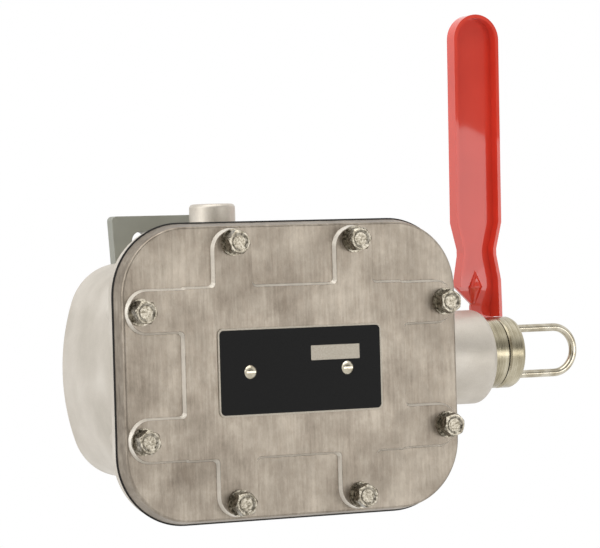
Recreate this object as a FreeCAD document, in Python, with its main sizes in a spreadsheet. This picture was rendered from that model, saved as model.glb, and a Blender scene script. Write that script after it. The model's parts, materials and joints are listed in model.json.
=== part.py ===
import FreeCAD, Part
import math
import os

import Sketcher

# Cable pull switch in a cast housing.
# The frame has +Z up, +X towards the pull ring, and the cover faces -Y.
# The wall that the switch is fixed to is the plane Y = 0, and a depth is a distance in front of it.
# All sizes are in millimetres.

SIZES = [
    ("housing_half_width", 101.0, "outer wall, centre to the bulging side"),
    ("housing_half_height", 65.5, "outer wall, centre to top"),
    ("housing_corner", 34.0, "outer corner radius of the wall"),
    ("housing_side_radius", 130.0, "radius of the bulging sides"),
    ("housing_draft", 0.8, "draft of the outer wall in degrees"),
    ("housing_back_round", 5.0, "radius round the back edge"),
    ("housing_depth", 101.3, "back of the housing to the back of the flange"),
    ("wall", 6.5, "wall of the housing"),
    ("floor", 6.0, "back wall of the housing"),
    ("flange_thick", 7.0, "thickness of the flange"),
    ("flange_side_margin", 9.9, "flange beyond the housing's side"),
    ("flange_top_margin", 21.7, "flange beyond the housing's top"),
    ("flange_corner", 41.5, "corner radius of the flange"),
    ("screw_boss_radius", 7.5, "boss behind the flange at each cover screw"),
    ("screw_boss_length", 12.0, "length of that boss"),
    ("gasket_thick", 1.2, "cover gasket"),
    ("cover_side_margin", 0.6, "cover beyond the flange, at the side"),
    ("cover_top_margin", 0.5, "cover beyond the flange, at the top"),
    ("cover_corner", 42.0, "corner radius of the cover"),
    ("cover_thick", 9.3, "cover at its sunk fields"),
    ("cover_draft", 12.0, "slope of the cover's side in degrees"),
    ("cover_edge_round", 1.5, "radius round the front edge"),
    ("cover_recess", 4.0, "depth of the hollow behind the cover"),
    ("field_rise", 3.2, "height of the raised field"),
    ("field_slope", 24.0, "slope of the raised field's side in degrees"),
    ("field_side_inset", 37.8, "raised field, from the cover's side"),
    ("field_top_inset", 36.6, "raised field, from the cover's top"),
    ("field_corner", 3.0, "corner radius of the raised field"),
    ("finger_width", 28.0, "width of a raised finger"),
    ("finger_corner", 13.5, "radius at a finger's end"),
    ("inner_round", 3.0, "radius in the corners between the fingers and the field"),
    ("finger_margin", 2.4, "from a finger's end to the cover's edge"),
    ("screw_side_inset", 11.4, "side cover screws, from the cover's side"),
    ("screw_side_z", 37.2, "side cover screws, above and below the middle"),
    ("screw_top_x", 39.9, "top cover screws, left and right of the middle"),
    ("screw_top_inset", 11.5, "top cover screws, from the cover's top"),
    ("screw_radius", 3.95, "shank of a cover screw"),
    ("screw_clearance", 0.35, "gap round a cover screw in the cover"),
    ("screw_length", 24.0, "shank length under the washer"),
    ("screw_flats", 12.7, "across the flats of the head"),
    ("screw_head", 6.2, "height of the head"),
    ("screw_cup", 1.0, "depth of the cup in the head"),
    ("washer_radius", 7.9, "cover screw washer"),
    ("washer_thick", 1.6, "cover screw washer"),
    ("lock_radius", 6.6, "cover screw lock washer"),
    ("lock_thick", 2.2, "cover screw lock washer"),
    ("lock_slit", 1.2, "slit of a lock washer"),
    ("tap_fit", 0.02, "gap round a screw in its thread"),
    ("name_width", 107.8, "nameplate"),
    ("name_height", 51.6, "nameplate"),
    ("name_corner", 3.5, "nameplate corner"),
    ("name_thick", 0.8, "nameplate"),
    ("name_shift", 2.2, "nameplate centre, right of the middle"),
    ("rivet_half_pitch", 32.0, "nameplate drive screws"),
    ("rivet_shift", 1.0, "middle of the drive screws, right of the middle"),
    ("rivet_radius", 4.0, "head of a drive screw"),
    ("rivet_rise", 1.8, "height of that head"),
    ("rivet_shank", 1.6, "shank radius of a drive screw"),
    ("rivet_length", 6.0, "shank length of a drive screw"),
    ("slot_width", 1.1, "slot of a drive screw"),
    ("plate_thick", 8.0, "mounting plate"),
    ("plate_middle", 25.0, "mounting plate middle, left of the housing's middle"),
    ("plate_top_half", 39.0, "half width at the top of the mounting plate"),
    ("plate_foot_half", 28.0, "half width at the foot of the mounting plate"),
    ("plate_top", 94.4, "top of the mounting plate"),
    ("plate_foot", 84.0, "foot of the mounting plate, below the middle"),
    ("plate_round", 3.0, "corner radius of the mounting plate"),
    ("plate_foot_round", 12.0, "radius of the foot's corners"),
    ("mount_hole_radius", 5.6, "holes for the wall bolts"),
    ("mount_hole_half_pitch", 20.0, "top wall bolts, left and right of the plate's middle"),
    ("mount_hole_rise", 79.0, "top wall bolts, above the middle"),
    ("mount_hole_drop", 74.0, "bottom wall bolt, below the middle"),
    ("plate_screw_x", 20.0, "plate screws, left and right of the plate's middle"),
    ("plate_screw_z", 35.0, "plate screws, above and below the middle"),
    ("plate_screw_radius", 4.0, "shank of a plate screw"),
    ("plate_screw_head_radius", 7.2, "head of a plate screw"),
    ("plate_screw_head", 4.2, "height of a sunk plate screw head"),
    ("plate_screw_length", 11.0, "shank in the housing"),
    ("plate_boss_radius", 10.0, "boss inside the back wall for a plate screw"),
    ("plate_boss_length", 10.0, "length of that boss"),
    ("hub_shift", 19.0, "conduit hub, left of the middle"),
    ("hub_depth", 58.0, "conduit hub axis in front of the wall"),
    ("hub_radius", 14.0, "outside of the conduit hub"),
    ("hub_top", 100.0, "top of the conduit hub"),
    ("hub_round", 2.5, "radius round the hub's top"),
    ("hub_bore", 9.15, "tap bore of the conduit hub"),
    ("hub_thread_length", 20.0, "threaded length of the conduit hub"),
    ("hub_throat", 8.0, "bore below the thread"),
    ("axis_rise", 2.3, "pull axis above the middle"),
    ("axis_depth", 70.0, "pull axis in front of the wall"),
    ("boss_radius", 29.5, "side boss"),
    ("boss_rise", 0.3, "side boss above the middle"),
    ("boss_end", 156.4, "end of the side boss, from the middle"),
    ("boss_round", 4.5, "radius round the boss's end"),
    ("boss_bore", 14.0, "bore of the side boss"),
    ("shaft_radius", 8.0, "pull shaft"),
    ("shaft_clearance", 0.05, "running gap round the shaft"),
    ("shaft_setback", 109.0, "inner end of the shaft, from the housing's side"),
    ("shaft_spigot", 6.0, "radius of the shaft's outer spigot"),
    ("bushing_length", 24.0, "shaft bushing"),
    ("gland_radius", 22.4, "gland ring"),
    ("gland_length", 12.0, "gland ring"),
    ("gland_round", 1.0, "edge of the gland ring"),
    ("seal_wire", 1.6, "section radius of the shaft seal"),
    ("collar_gap", 0.5, "gap between gland ring and collar"),
    ("collar_radius", 22.5, "collar"),
    ("collar_length", 11.4, "collar"),
    ("collar_round", 2.5, "edge of the collar"),
    ("ring_wire", 2.5, "section radius of the pull ring's wire"),
    ("ring_half_width", 14.5, "pull ring, middle to the wire's middle"),
    ("ring_reach", 230.3, "outer end of the pull ring, from the middle"),
    ("ring_seat", 8.0, "length of each leg in the collar"),
    ("pull_travel", 10.0, "travel of the pull shaft"),
    ("spring_length", 31.0, "return spring at rest"),
    ("spring_radius", 11.2, "mean radius of the return spring"),
    ("spring_wire", 1.0, "wire radius of the return spring"),
    ("spring_turns", 5.0, "working turns of the return spring"),
    ("spring_end_pitch", 2.08, "pitch of the closed end turns"),
    ("seat_thick", 2.0, "spring seat washer"),
    ("seat_gap", 0.3, "gap round the spring seat in the bore"),
    ("clip_thick", 1.2, "shaft clip"),
    ("clip_radius", 11.5, "shaft clip"),
    ("groove_radius", 7.0, "groove in the shaft for its clip"),
    ("guide_setback", 96.0, "inner shaft guide, from the housing's side"),
    ("guide_thick", 10.0, "inner shaft guide"),
    ("guide_half", 13.5, "inner shaft guide, axis to its side"),
    ("cam_setback", 79.0, "inner end of the cam sleeve, from the housing's side"),
    ("cam_land", 4.0, "straight length of the cam sleeve"),
    ("cam_ramp", 17.0, "sloped length of the cam sleeve"),
    ("cam_tail", 3.0, "straight small end of the cam sleeve"),
    ("cam_high", 15.4, "largest radius of the cam sleeve"),
    ("cam_low", 10.64, "smallest radius of the cam sleeve"),
    ("roller_radius", 5.0, "arm roller"),
    ("roller_width", 6.0, "arm roller"),
    ("contact_setback", 61.0, "where the roller meets the cam, from the housing's side"),
    ("roller_gap", 0.25, "gap between roller and cam"),
    ("roller_pin_radius", 1.5, "roller pin"),
    ("pin_gap", 0.05, "running gap on the small pins"),
    ("arm_pivot_setback", 90.0, "arm pivot, from the housing's side"),
    ("arm_pivot_z", 24.0, "arm pivot, above the middle"),
    ("arm_pin_radius", 2.5, "arm pivot pin"),
    ("arm_hub_radius", 4.5, "hub of the arm"),
    ("arm_thick", 2.5, "arm plate"),
    ("arm_eye", 3.0, "radius of the arm round the roller pin"),
    ("tab_thick", 1.5, "tab of the arm under the plungers"),
    ("tab_half", 9.0, "half length of that tab"),
    ("side_gap", 0.3, "gap beside a moving piece"),
    ("switch_setback", 95.0, "inner end of the snap switches, from the housing's side"),
    ("switch_length", 50.0, "snap switch"),
    ("switch_foot", 32.0, "foot of the snap switches, above the middle"),
    ("switch_height", 24.0, "snap switch"),
    ("switch_thick", 10.0, "snap switch"),
    ("switch_gap", 0.4, "gap between the two snap switches"),
    ("switch_screw_radius", 1.8, "long screws through both switches"),
    ("switch_screw_inset", 7.0, "those screws, from a switch's ends and top"),
    ("plunger_setback", 75.0, "plungers, from the housing's side"),
    ("plunger_radius", 2.0, "plunger"),
    ("plunger_out", 2.5, "plunger below its switch"),
    ("plunger_in", 5.0, "plunger inside its switch"),
    ("plunger_well", 7.5, "depth of the plunger's hole"),
    ("plunger_gap", 0.25, "gap between plunger and tab"),
    ("panel_drop", 14.0, "back of the switch plate, behind the pull axis"),
    ("panel_thick", 2.0, "switch plate"),
    ("panel_start_setback", 104.0, "inner end of the switch plate, from the housing's side"),
    ("panel_end_setback", 36.0, "outer end of the switch plate, from the housing's side"),
    ("panel_foot", 19.5, "foot of the switch plate"),
    ("panel_top", 57.0, "top of the switch plate"),
    ("panel_inset", 4.5, "switch plate screws, from its ends"),
    ("post_radius", 4.0, "posts inside the housing"),
    ("post_screw_radius", 2.0, "screws into the posts"),
    ("post_screw_head", 2.6, "height of their heads"),
    ("post_screw_head_radius", 3.6, "radius of their heads"),
    ("post_screw_length", 8.0, "their length in the posts"),
    ("block_inner", 15.0, "inner end of the terminal block's lug, left of the middle"),
    ("block_side_gap", 12.0, "outer end of the terminal block's lug, from the housing's side"),
    ("block_half_height", 10.0, "half height of the terminal block"),
    ("block_depth", 34.0, "back of the terminal block, in front of the wall"),
    ("block_thick", 14.0, "terminal block"),
    ("block_lug", 8.0, "end lugs of the terminal block"),
    ("block_lug_thick", 5.0, "end lugs of the terminal block"),
    ("barrier", 1.6, "barriers of the terminal block"),
    ("barrier_depth", 5.0, "depth of the terminal block's bays"),
    ("bay_count", 5.0, "bays of the terminal block"),
    ("terminal_radius", 3.0, "terminal screw head"),
    ("terminal_head", 2.0, "terminal screw head"),
    ("terminal_shank", 1.6, "terminal screw shank"),
    ("terminal_length", 5.0, "terminal screw shank"),
    ("earth_setback", 31.0, "ground screw, from the housing's side"),
    ("earth_z", 38.0, "ground screw, below the middle"),
    ("earth_radius", 2.4, "ground screw shank"),
    ("earth_head_radius", 5.2, "ground screw head, across the corners"),
    ("earth_head", 3.5, "ground screw head"),
    ("earth_length", 9.0, "ground screw shank"),
    ("earth_boss", 7.0, "radius of the ground boss"),
    ("earth_boss_length", 10.0, "ground boss in front of the back wall"),
    ("lug_drop", 30.0, "front of the lever lug, behind the pull axis"),
    ("lug_thick", 9.0, "lever lug"),
    ("lug_radius", 10.0, "lever lug"),
    ("lug_start", 118.0, "inner end of the lever lug"),
    ("lug_web_end", 150.0, "outer end of the lug's web to the boss"),
    ("pivot_x", 177.0, "lever pivot, from the middle"),
    ("pivot_radius", 5.0, "lever pivot pin"),
    ("pivot_head_radius", 8.5, "head of the lever pivot pin"),
    ("pivot_head", 4.5, "head of the lever pivot pin"),
    ("lever_washer", 1.0, "washer behind the lever"),
    ("lever_washer_radius", 9.0, "washer behind the lever"),
    ("lever_gap", 0.15, "gap at each side of the lever's eye"),
    ("lever_clip", 1.0, "retaining clip of the lever"),
    ("lever_clip_radius", 7.5, "retaining clip of the lever"),
    ("lever_sheet", 2.2, "sheet of the lever"),
    ("lever_rim", 9.5, "depth of the lever's rim"),
    ("lever_step", 3.85, "step between the lever's foot and its blade"),
    ("lever_middle", 170.35, "middle of the lever's blade"),
    ("lever_tip", 217.5, "top of the lever"),
    ("lever_lean", 1.4, "top of the blade, further right than its foot"),
    ("lever_half", 16.2, "half width of the lever's blade"),
    ("lever_waist", 11.9, "half width of the lever's waist"),
    ("lever_flare", 14.9, "half width below the waist"),
    ("lever_shoulder_z", 85.0, "where the blade starts to narrow"),
    ("lever_waist_top_z", 68.0, "top of the waist"),
    ("lever_waist_foot_z", 64.0, "foot of the waist"),
    ("lever_flare_z", 48.0, "widest place below the waist"),
    ("lever_crease_z", 44.0, "crease above the lever's foot"),
    ("lever_bend_z", 31.0, "lower end of the crease's slope"),
    ("lever_eye", 11.5, "radius of the lever's eye"),
    ("lever_foot_left", 155.45, "left side of the lever's foot at the crease"),
    ("lever_neck_left", 168.8, "left side of the lever's neck"),
    ("lever_neck_z", 33.0, "where the foot has narrowed to the neck"),
    ("lever_foot_right", 185.5, "right side of the lever's foot"),
    ("lever_rim_foot_z", 24.5, "lower end of the foot's rim"),
    ("gusset_half", 4.7, "half width of the pressed gusset"),
    ("gusset_height", 1.8, "height of the pressed gusset in front of the blade"),
    ("gusset_slope", 30.0, "slope of the pressed gusset's sides in degrees"),
    ("gusset_rise", 9.5, "length of the pressed gusset"),
]


class Size:
    """A number together with the spreadsheet formula that gives it."""

    def __init__(self, value, text):
        self.value = float(value)
        self.text = text

    def __add__(self, other):
        other = as_size(other)
        return Size(self.value + other.value, "(%s + %s)" % (self.text, other.text))

    def __sub__(self, other):
        other = as_size(other)
        return Size(self.value - other.value, "(%s - %s)" % (self.text, other.text))

    def __mul__(self, other):
        other = as_size(other)
        return Size(self.value * other.value, "(%s * %s)" % (self.text, other.text))

    def __truediv__(self, other):
        other = as_size(other)
        return Size(self.value / other.value, "(%s / %s)" % (self.text, other.text))

    def __neg__(self):
        return Size(-self.value, "(0 - %s)" % self.text)

    __radd__ = __add__
    __rmul__ = __mul__


def as_size(number):
    if isinstance(number, Size):
        return number
    return Size(number, "(%r)" % float(number))


class Sizes:
    """The driving dimensions, one attribute for each cell of the spreadsheet."""


doc = FreeCAD.newDocument("cable_pull_switch")
sheet = doc.addObject("Spreadsheet::Sheet", "sizes")
s = Sizes()
for row, (alias, value, meaning) in enumerate(SIZES, start=1):
    sheet.set("A%d" % row, alias)
    sheet.set("B%d" % row, repr(value))
    sheet.setAlias("B%d" % row, alias)
    sheet.set("C%d" % row, meaning)
doc.recompute()
for alias, value, meaning in SIZES:
    setattr(s, alias, Size(sheet.get(alias), "sizes.%s" % alias))

# Places that follow from the housing's sides, from its top and from the pull axis.
s.flange_half_width = s.housing_half_width + s.flange_side_margin
s.flange_half_height = s.housing_half_height + s.flange_top_margin
s.cover_half_width = s.flange_half_width + s.cover_side_margin
s.cover_half_height = s.flange_half_height + s.cover_top_margin
s.field_half_width = s.cover_half_width - s.field_side_inset
s.field_half_height = s.cover_half_height - s.field_top_inset
s.screw_side_x = s.cover_half_width - s.screw_side_inset
s.screw_top_z = s.cover_half_height - s.screw_top_inset
s.guide_middle = s.housing_half_width - s.guide_setback
s.cam_start = s.housing_half_width - s.cam_setback
s.roller_contact = s.housing_half_width - s.contact_setback
s.arm_pivot_x = s.housing_half_width - s.arm_pivot_setback
s.switch_start = s.housing_half_width - s.switch_setback
s.plunger_x = s.housing_half_width - s.plunger_setback
s.panel_start = s.housing_half_width - s.panel_start_setback
s.panel_end = s.housing_half_width - s.panel_end_setback
s.shaft_inner_end = s.housing_half_width - s.shaft_setback
s.earth_x = s.housing_half_width - s.earth_setback
s.panel_depth = s.axis_depth - s.panel_drop
s.lug_depth = s.axis_depth - s.lug_drop
s.block_half = (s.housing_half_width - s.block_side_gap - s.block_inner) / 2 - s.block_lug
s.block_middle = s.block_inner + s.block_lug + s.block_half

ALONG_X = FreeCAD.Rotation(FreeCAD.Vector(0, 1, 0), 90)
ALONG_DEPTH = FreeCAD.Rotation(FreeCAD.Vector(1, 0, 0), 90)
ALONG_Z = FreeCAD.Rotation()
PLANES = {"front": "XZ_Plane", "side": "YZ_Plane", "top": "XY_Plane"}
nodes = {}


def keep(label, piece):
    """Names a finished piece, which is written to a file of that name."""
    piece.Label = label
    nodes[label] = piece
    return piece


def bind(thing, prop, size):
    size = as_size(size)
    thing.setExpression(prop, size.text)


def place(thing, rotation, x, depth, z):
    """Puts a primitive at x, at a depth in front of the wall, and at height z."""
    x, depth, z = as_size(x), as_size(depth), as_size(z)
    thing.Placement = FreeCAD.Placement(FreeCAD.Vector(x.value, -depth.value, z.value), rotation)
    bind(thing, "Placement.Base.x", x)
    bind(thing, "Placement.Base.y", -depth)
    bind(thing, "Placement.Base.z", z)


def cylinder(name, radius, length, rotation, x, depth, z):
    rod = doc.addObject("Part::Cylinder", name)
    bind(rod, "Radius", radius)
    bind(rod, "Height", length)
    place(rod, rotation, x, depth, z)
    return rod


def cone(name, start_radius, end_radius, length, rotation, x, depth, z):
    taper = doc.addObject("Part::Cone", name)
    bind(taper, "Radius1", start_radius)
    bind(taper, "Radius2", end_radius)
    bind(taper, "Height", length)
    place(taper, rotation, x, depth, z)
    return taper


def block(name, x_from, x_to, depth_from, depth_to, z_from, z_to):
    """A box between two values of x, of depth and of z."""
    brick = doc.addObject("Part::Box", name)
    bind(brick, "Length", as_size(x_to) - x_from)
    bind(brick, "Width", as_size(depth_to) - depth_from)
    bind(brick, "Height", as_size(z_to) - z_from)
    place(brick, ALONG_Z, x_from, depth_to, z_from)
    return brick


def hexagon(name, flats, length, x, depth, z, turn):
    """A hexagon prism that grows towards the viewer, turned by some degrees."""
    prism = doc.addObject("Part::Prism", name)
    prism.Polygon = 6
    bind(prism, "Circumradius", as_size(flats) / math.sqrt(3.0))
    bind(prism, "Height", length)
    spin = ALONG_DEPTH.multiply(FreeCAD.Rotation(FreeCAD.Vector(0, 0, 1), turn))
    place(prism, spin, x, depth, z)
    return prism


def fuse(name, pieces):
    whole = doc.addObject("Part::MultiFuse", name)
    whole.Shapes = pieces
    whole.Refine = True
    return whole


def cut(name, base, tools):
    """Takes the tools away from the base."""
    tool = tools[0] if len(tools) == 1 else fuse(name + "_tools", tools)
    rest = doc.addObject("Part::Cut", name)
    rest.Base = base
    rest.Tool = tool
    rest.Refine = True
    return rest


def common(name, first, second):
    shared = doc.addObject("Part::Common", name)
    shared.Base = first
    shared.Tool = second
    return shared


def group(name, pieces):
    """Identical fasteners that share one node."""
    gathered = doc.addObject("Part::Compound", name)
    gathered.Links = pieces
    return gathered


def new_body(name):
    return doc.addObject("PartDesign::Body", name)


def new_sketch(body, name, plane, offset, shift_x=0.0, shift_y=0.0):
    """A sketch parallel to one of the body's planes.

    The front plane's offset is a depth in front of the wall, the side plane's is a value of x and
    the top plane's is a height.
    """
    sketch = body.newObject("Sketcher::SketchObject", name)
    for feature in body.Origin.OriginFeatures:
        if feature.Role == PLANES[plane]:
            sketch.AttachmentSupport = [(feature, "")]
    sketch.MapMode = "FlatFace"
    bind(sketch, "AttachmentOffset.Base.x", shift_x)
    bind(sketch, "AttachmentOffset.Base.y", shift_y)
    bind(sketch, "AttachmentOffset.Base.z", offset)
    return sketch


def dimension(sketch, kind, parts, size):
    """Adds a dimension that follows the spreadsheet. A negative distance is measured backwards."""
    size = as_size(size)
    if kind in ("DistanceX", "DistanceY") and size.value < 0:
        parts = parts[2:] + parts[:2]
        size = -size
    index = sketch.addConstraint(Sketcher.Constraint(kind, *(list(parts) + [size.value])))
    name = "%s_%d" % (kind.lower(), index)
    sketch.renameConstraint(index, name)
    sketch.setExpression("Constraints." + name, size.text)


def pin_point(sketch, geometry, position, x, y):
    """Fixes a point of the sketch at x and y."""
    dimension(sketch, "DistanceX", [-1, 1, geometry, position], x)
    dimension(sketch, "DistanceY", [-1, 1, geometry, position], y)


def draw_circle(sketch, x, y, radius):
    x, y, radius = as_size(x), as_size(y), as_size(radius)
    centre = FreeCAD.Vector(x.value, y.value, 0)
    circle = sketch.addGeometry(Part.Circle(centre, FreeCAD.Vector(0, 0, 1), radius.value), False)
    pin_point(sketch, circle, 3, x, y)
    dimension(sketch, "Radius", [circle], radius)


def draw_polygon(sketch, points):
    """A closed outline with straight sides through the given points."""
    points = [(as_size(x), as_size(y)) for x, y in points]
    lines = []
    for (x0, y0), (x1, y1) in zip(points, points[1:] + points[:1]):
        start = FreeCAD.Vector(x0.value, y0.value, 0)
        end = FreeCAD.Vector(x1.value, y1.value, 0)
        lines.append(sketch.addGeometry(Part.LineSegment(start, end), False))
    for line, following in zip(lines, lines[1:] + lines[:1]):
        sketch.addConstraint(Sketcher.Constraint("Coincident", line, 2, following, 1))
    for line, (x, y) in zip(lines, points):
        pin_point(sketch, line, 1, x, y)


def draw_rounded_rectangle(sketch, x_from, x_to, y_from, y_to, radius):
    """A rectangle between two values of x and of y, with round corners."""
    x_from, x_to, y_from, y_to = (as_size(v) for v in (x_from, x_to, y_from, y_to))
    radius = as_size(radius)
    x0, x1, y0, y1 = x_from.value, x_to.value, y_from.value, y_to.value
    r = radius.value
    sides = [((x0 + r, y0), (x1 - r, y0)), ((x1, y0 + r), (x1, y1 - r)),
             ((x1 - r, y1), (x0 + r, y1)), ((x0, y1 - r), (x0, y0 + r))]
    lines = [sketch.addGeometry(Part.LineSegment(FreeCAD.Vector(*a, 0), FreeCAD.Vector(*b, 0)), False)
             for a, b in sides]
    corners = [(x1 - r, y0 + r, 270), (x1 - r, y1 - r, 0), (x0 + r, y1 - r, 90), (x0 + r, y0 + r, 180)]
    arcs = []
    for x, y, angle in corners:
        circle = Part.Circle(FreeCAD.Vector(x, y, 0), FreeCAD.Vector(0, 0, 1), r)
        start = math.radians(angle)
        arcs.append(sketch.addGeometry(Part.ArcOfCircle(circle, start, start + math.pi / 2), False))
    for i, line in enumerate(lines):
        kind = "Vertical" if i % 2 else "Horizontal"
        sketch.addConstraint(Sketcher.Constraint(kind, line))
        sketch.addConstraint(Sketcher.Constraint("Tangent", line, 2, arcs[i], 1))
        sketch.addConstraint(Sketcher.Constraint("Tangent", arcs[i], 2, lines[(i + 1) % 4], 1))
    for arc in arcs[1:]:
        sketch.addConstraint(Sketcher.Constraint("Equal", arcs[0], arc))
    dimension(sketch, "Radius", [arcs[0]], radius)
    pin_point(sketch, arcs[3], 3, x_from + radius, y_from + radius)
    pin_point(sketch, arcs[1], 3, x_to - radius, y_to - radius)


def draw_barrel(sketch, half_x, half_z, side_radius, corner):
    """An outline with a straight top and foot, bulging sides and round corners, all tangent."""
    half_x, half_z = as_size(half_x), as_size(half_z)
    side_radius, corner = as_size(side_radius), as_size(corner)
    middle = half_x - side_radius
    corner_z = half_z - corner
    big, small, rise = side_radius.value, corner.value, corner_z.value
    corner_x = middle.value + math.sqrt((big - small) ** 2 - rise ** 2)
    lean = math.atan2(rise, corner_x - middle.value)

    def arc(x, z, radius, start, end):
        circle = Part.Circle(FreeCAD.Vector(x, z, 0), FreeCAD.Vector(0, 0, 1), radius)
        return sketch.addGeometry(Part.ArcOfCircle(circle, start, end), False)

    def line(x, z):
        return sketch.addGeometry(Part.LineSegment(FreeCAD.Vector(x, z, 0), FreeCAD.Vector(-x, z, 0)), False)

    half_turn = math.pi
    right = arc(middle.value, 0, big, -lean, lean)
    upper_right = arc(corner_x, rise, small, lean, half_turn / 2)
    top = line(corner_x, half_z.value)
    upper_left = arc(-corner_x, rise, small, half_turn / 2, half_turn - lean)
    left = arc(-middle.value, 0, big, half_turn - lean, half_turn + lean)
    lower_left = arc(-corner_x, -rise, small, half_turn + lean, half_turn * 1.5)
    foot = line(-corner_x, -half_z.value)
    lower_right = arc(corner_x, -rise, small, -half_turn / 2, -lean)
    loop = [right, upper_right, top, upper_left, left, lower_left, foot, lower_right]
    for piece, following in zip(loop, loop[1:] + loop[:1]):
        sketch.addConstraint(Sketcher.Constraint("Tangent", piece, 2, following, 1))
    for straight in (top, foot):
        sketch.addConstraint(Sketcher.Constraint("Horizontal", straight))
    for other in (upper_left, lower_left, lower_right):
        sketch.addConstraint(Sketcher.Constraint("Equal", upper_right, other))
    sketch.addConstraint(Sketcher.Constraint("Equal", right, left))
    dimension(sketch, "Radius", [upper_right], corner)
    dimension(sketch, "Radius", [right], side_radius)
    pin_point(sketch, right, 3, middle, 0.0)
    pin_point(sketch, left, 3, -middle, 0.0)
    dimension(sketch, "DistanceY", [-1, 1, upper_right, 3], corner_z)
    dimension(sketch, "DistanceY", [-1, 1, lower_left, 3], -corner_z)


def draw_inner_outline(sketch):
    """The outline of the housing's inside."""
    draw_barrel(sketch, s.housing_half_width - s.wall, s.housing_half_height - s.wall,
                s.housing_side_radius - s.wall, s.housing_corner - s.wall)


def pad(body, sketch, length, taper=None):
    """Grows a sketch towards the viewer, towards +X or towards +Z."""
    feature = body.newObject("PartDesign::Pad", sketch.Name + "_pad")
    feature.Profile = sketch
    bind(feature, "Length", length)
    if taper is not None:
        bind(feature, "TaperAngle", taper)
    doc.recompute()
    return feature


def pocket(body, sketch, length):
    """Cuts a sketch backwards, towards -X or towards -Z, and checks that it takes material away."""
    before = body.Shape.Volume
    feature = body.newObject("PartDesign::Pocket", sketch.Name + "_cut")
    feature.Profile = sketch
    bind(feature, "Length", length)
    doc.recompute()
    if body.Shape.Volume >= before - 1e-3:
        raise RuntimeError("the pocket %s takes nothing away" % feature.Name)
    return feature


def revolve(body, sketch):
    """Turns a sketch once round its own horizontal axis."""
    feature = body.newObject("PartDesign::Revolution", sketch.Name + "_turned")
    feature.Profile = sketch
    feature.ReferenceAxis = (sketch, ["H_Axis"])
    feature.Angle = 360.0
    doc.recompute()
    return feature


def fillet(body, base, edges, radius):
    feature = body.newObject("PartDesign::Fillet", base.Name + "_round")
    feature.Base = (base, edges)
    bind(feature, "Radius", radius)
    doc.recompute()
    return feature


def edges_where(feature, test):
    """The names of the edges whose ends and middle all pass the test."""
    names = []
    for number, edge in enumerate(feature.Shape.Edges, start=1):
        middle = edge.valueAt((edge.FirstParameter + edge.LastParameter) / 2)
        points = [vertex.Point for vertex in edge.Vertexes] + [middle]
        if all(test(point) for point in points):
            names.append("Edge%d" % number)
    return names


def turned(name, profile):
    """A piece turned about the pull axis, from points of x and radius."""
    body = new_body(name)
    sketch = new_sketch(body, name + "_profile", "front", s.axis_depth, 0.0, s.axis_rise)
    draw_polygon(sketch, profile)
    revolve(body, sketch)
    return body


# Depths in front of the wall, from the back to the front.
housing_back = s.plate_thick
housing_inside = housing_back + s.floor
flange_back = housing_back + s.housing_depth
flange_front = flange_back + s.flange_thick
cover_back = flange_front + s.gasket_thick
sunk_front = cover_back + s.cover_thick
field_front = sunk_front + s.field_rise

# The eight cover screws, each a sign for x and z and whether it is at a side.
SCREW_SIGNS = [(sx, sz, side) for side in (False, True) for sx in (-1, 1) for sz in (-1, 1)]
HEAD_TURNS = [11, 47, 23, 5, 38, 52, 17, 29]


def screw_place(sign_x, sign_z, side):
    if side:
        return s.screw_side_x * sign_x, s.screw_side_z * sign_z
    return s.screw_top_x * sign_x, s.screw_top_z * sign_z


SCREW_PLACES = [screw_place(*signs) for signs in SCREW_SIGNS]
PANEL_POSTS = [(s.panel_start + s.panel_inset, s.panel_top - s.panel_inset),
               (s.panel_end - s.panel_inset, s.panel_top - s.panel_inset),
               (s.panel_start + s.panel_inset, s.panel_foot + s.panel_inset),
               (s.panel_end - s.panel_inset, s.panel_foot + s.panel_inset)]
block_lug_x = s.block_half + s.block_lug / 2
BLOCK_POSTS = [(-s.block_middle - block_lug_x, as_size(0.0)), (-s.block_middle + block_lug_x, as_size(0.0))]
PLATE_SCREWS = [(-s.plate_middle + s.plate_screw_x * sx, s.plate_screw_z * sz)
                for sx in (-1, 1) for sz in (-1, 1)]


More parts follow.
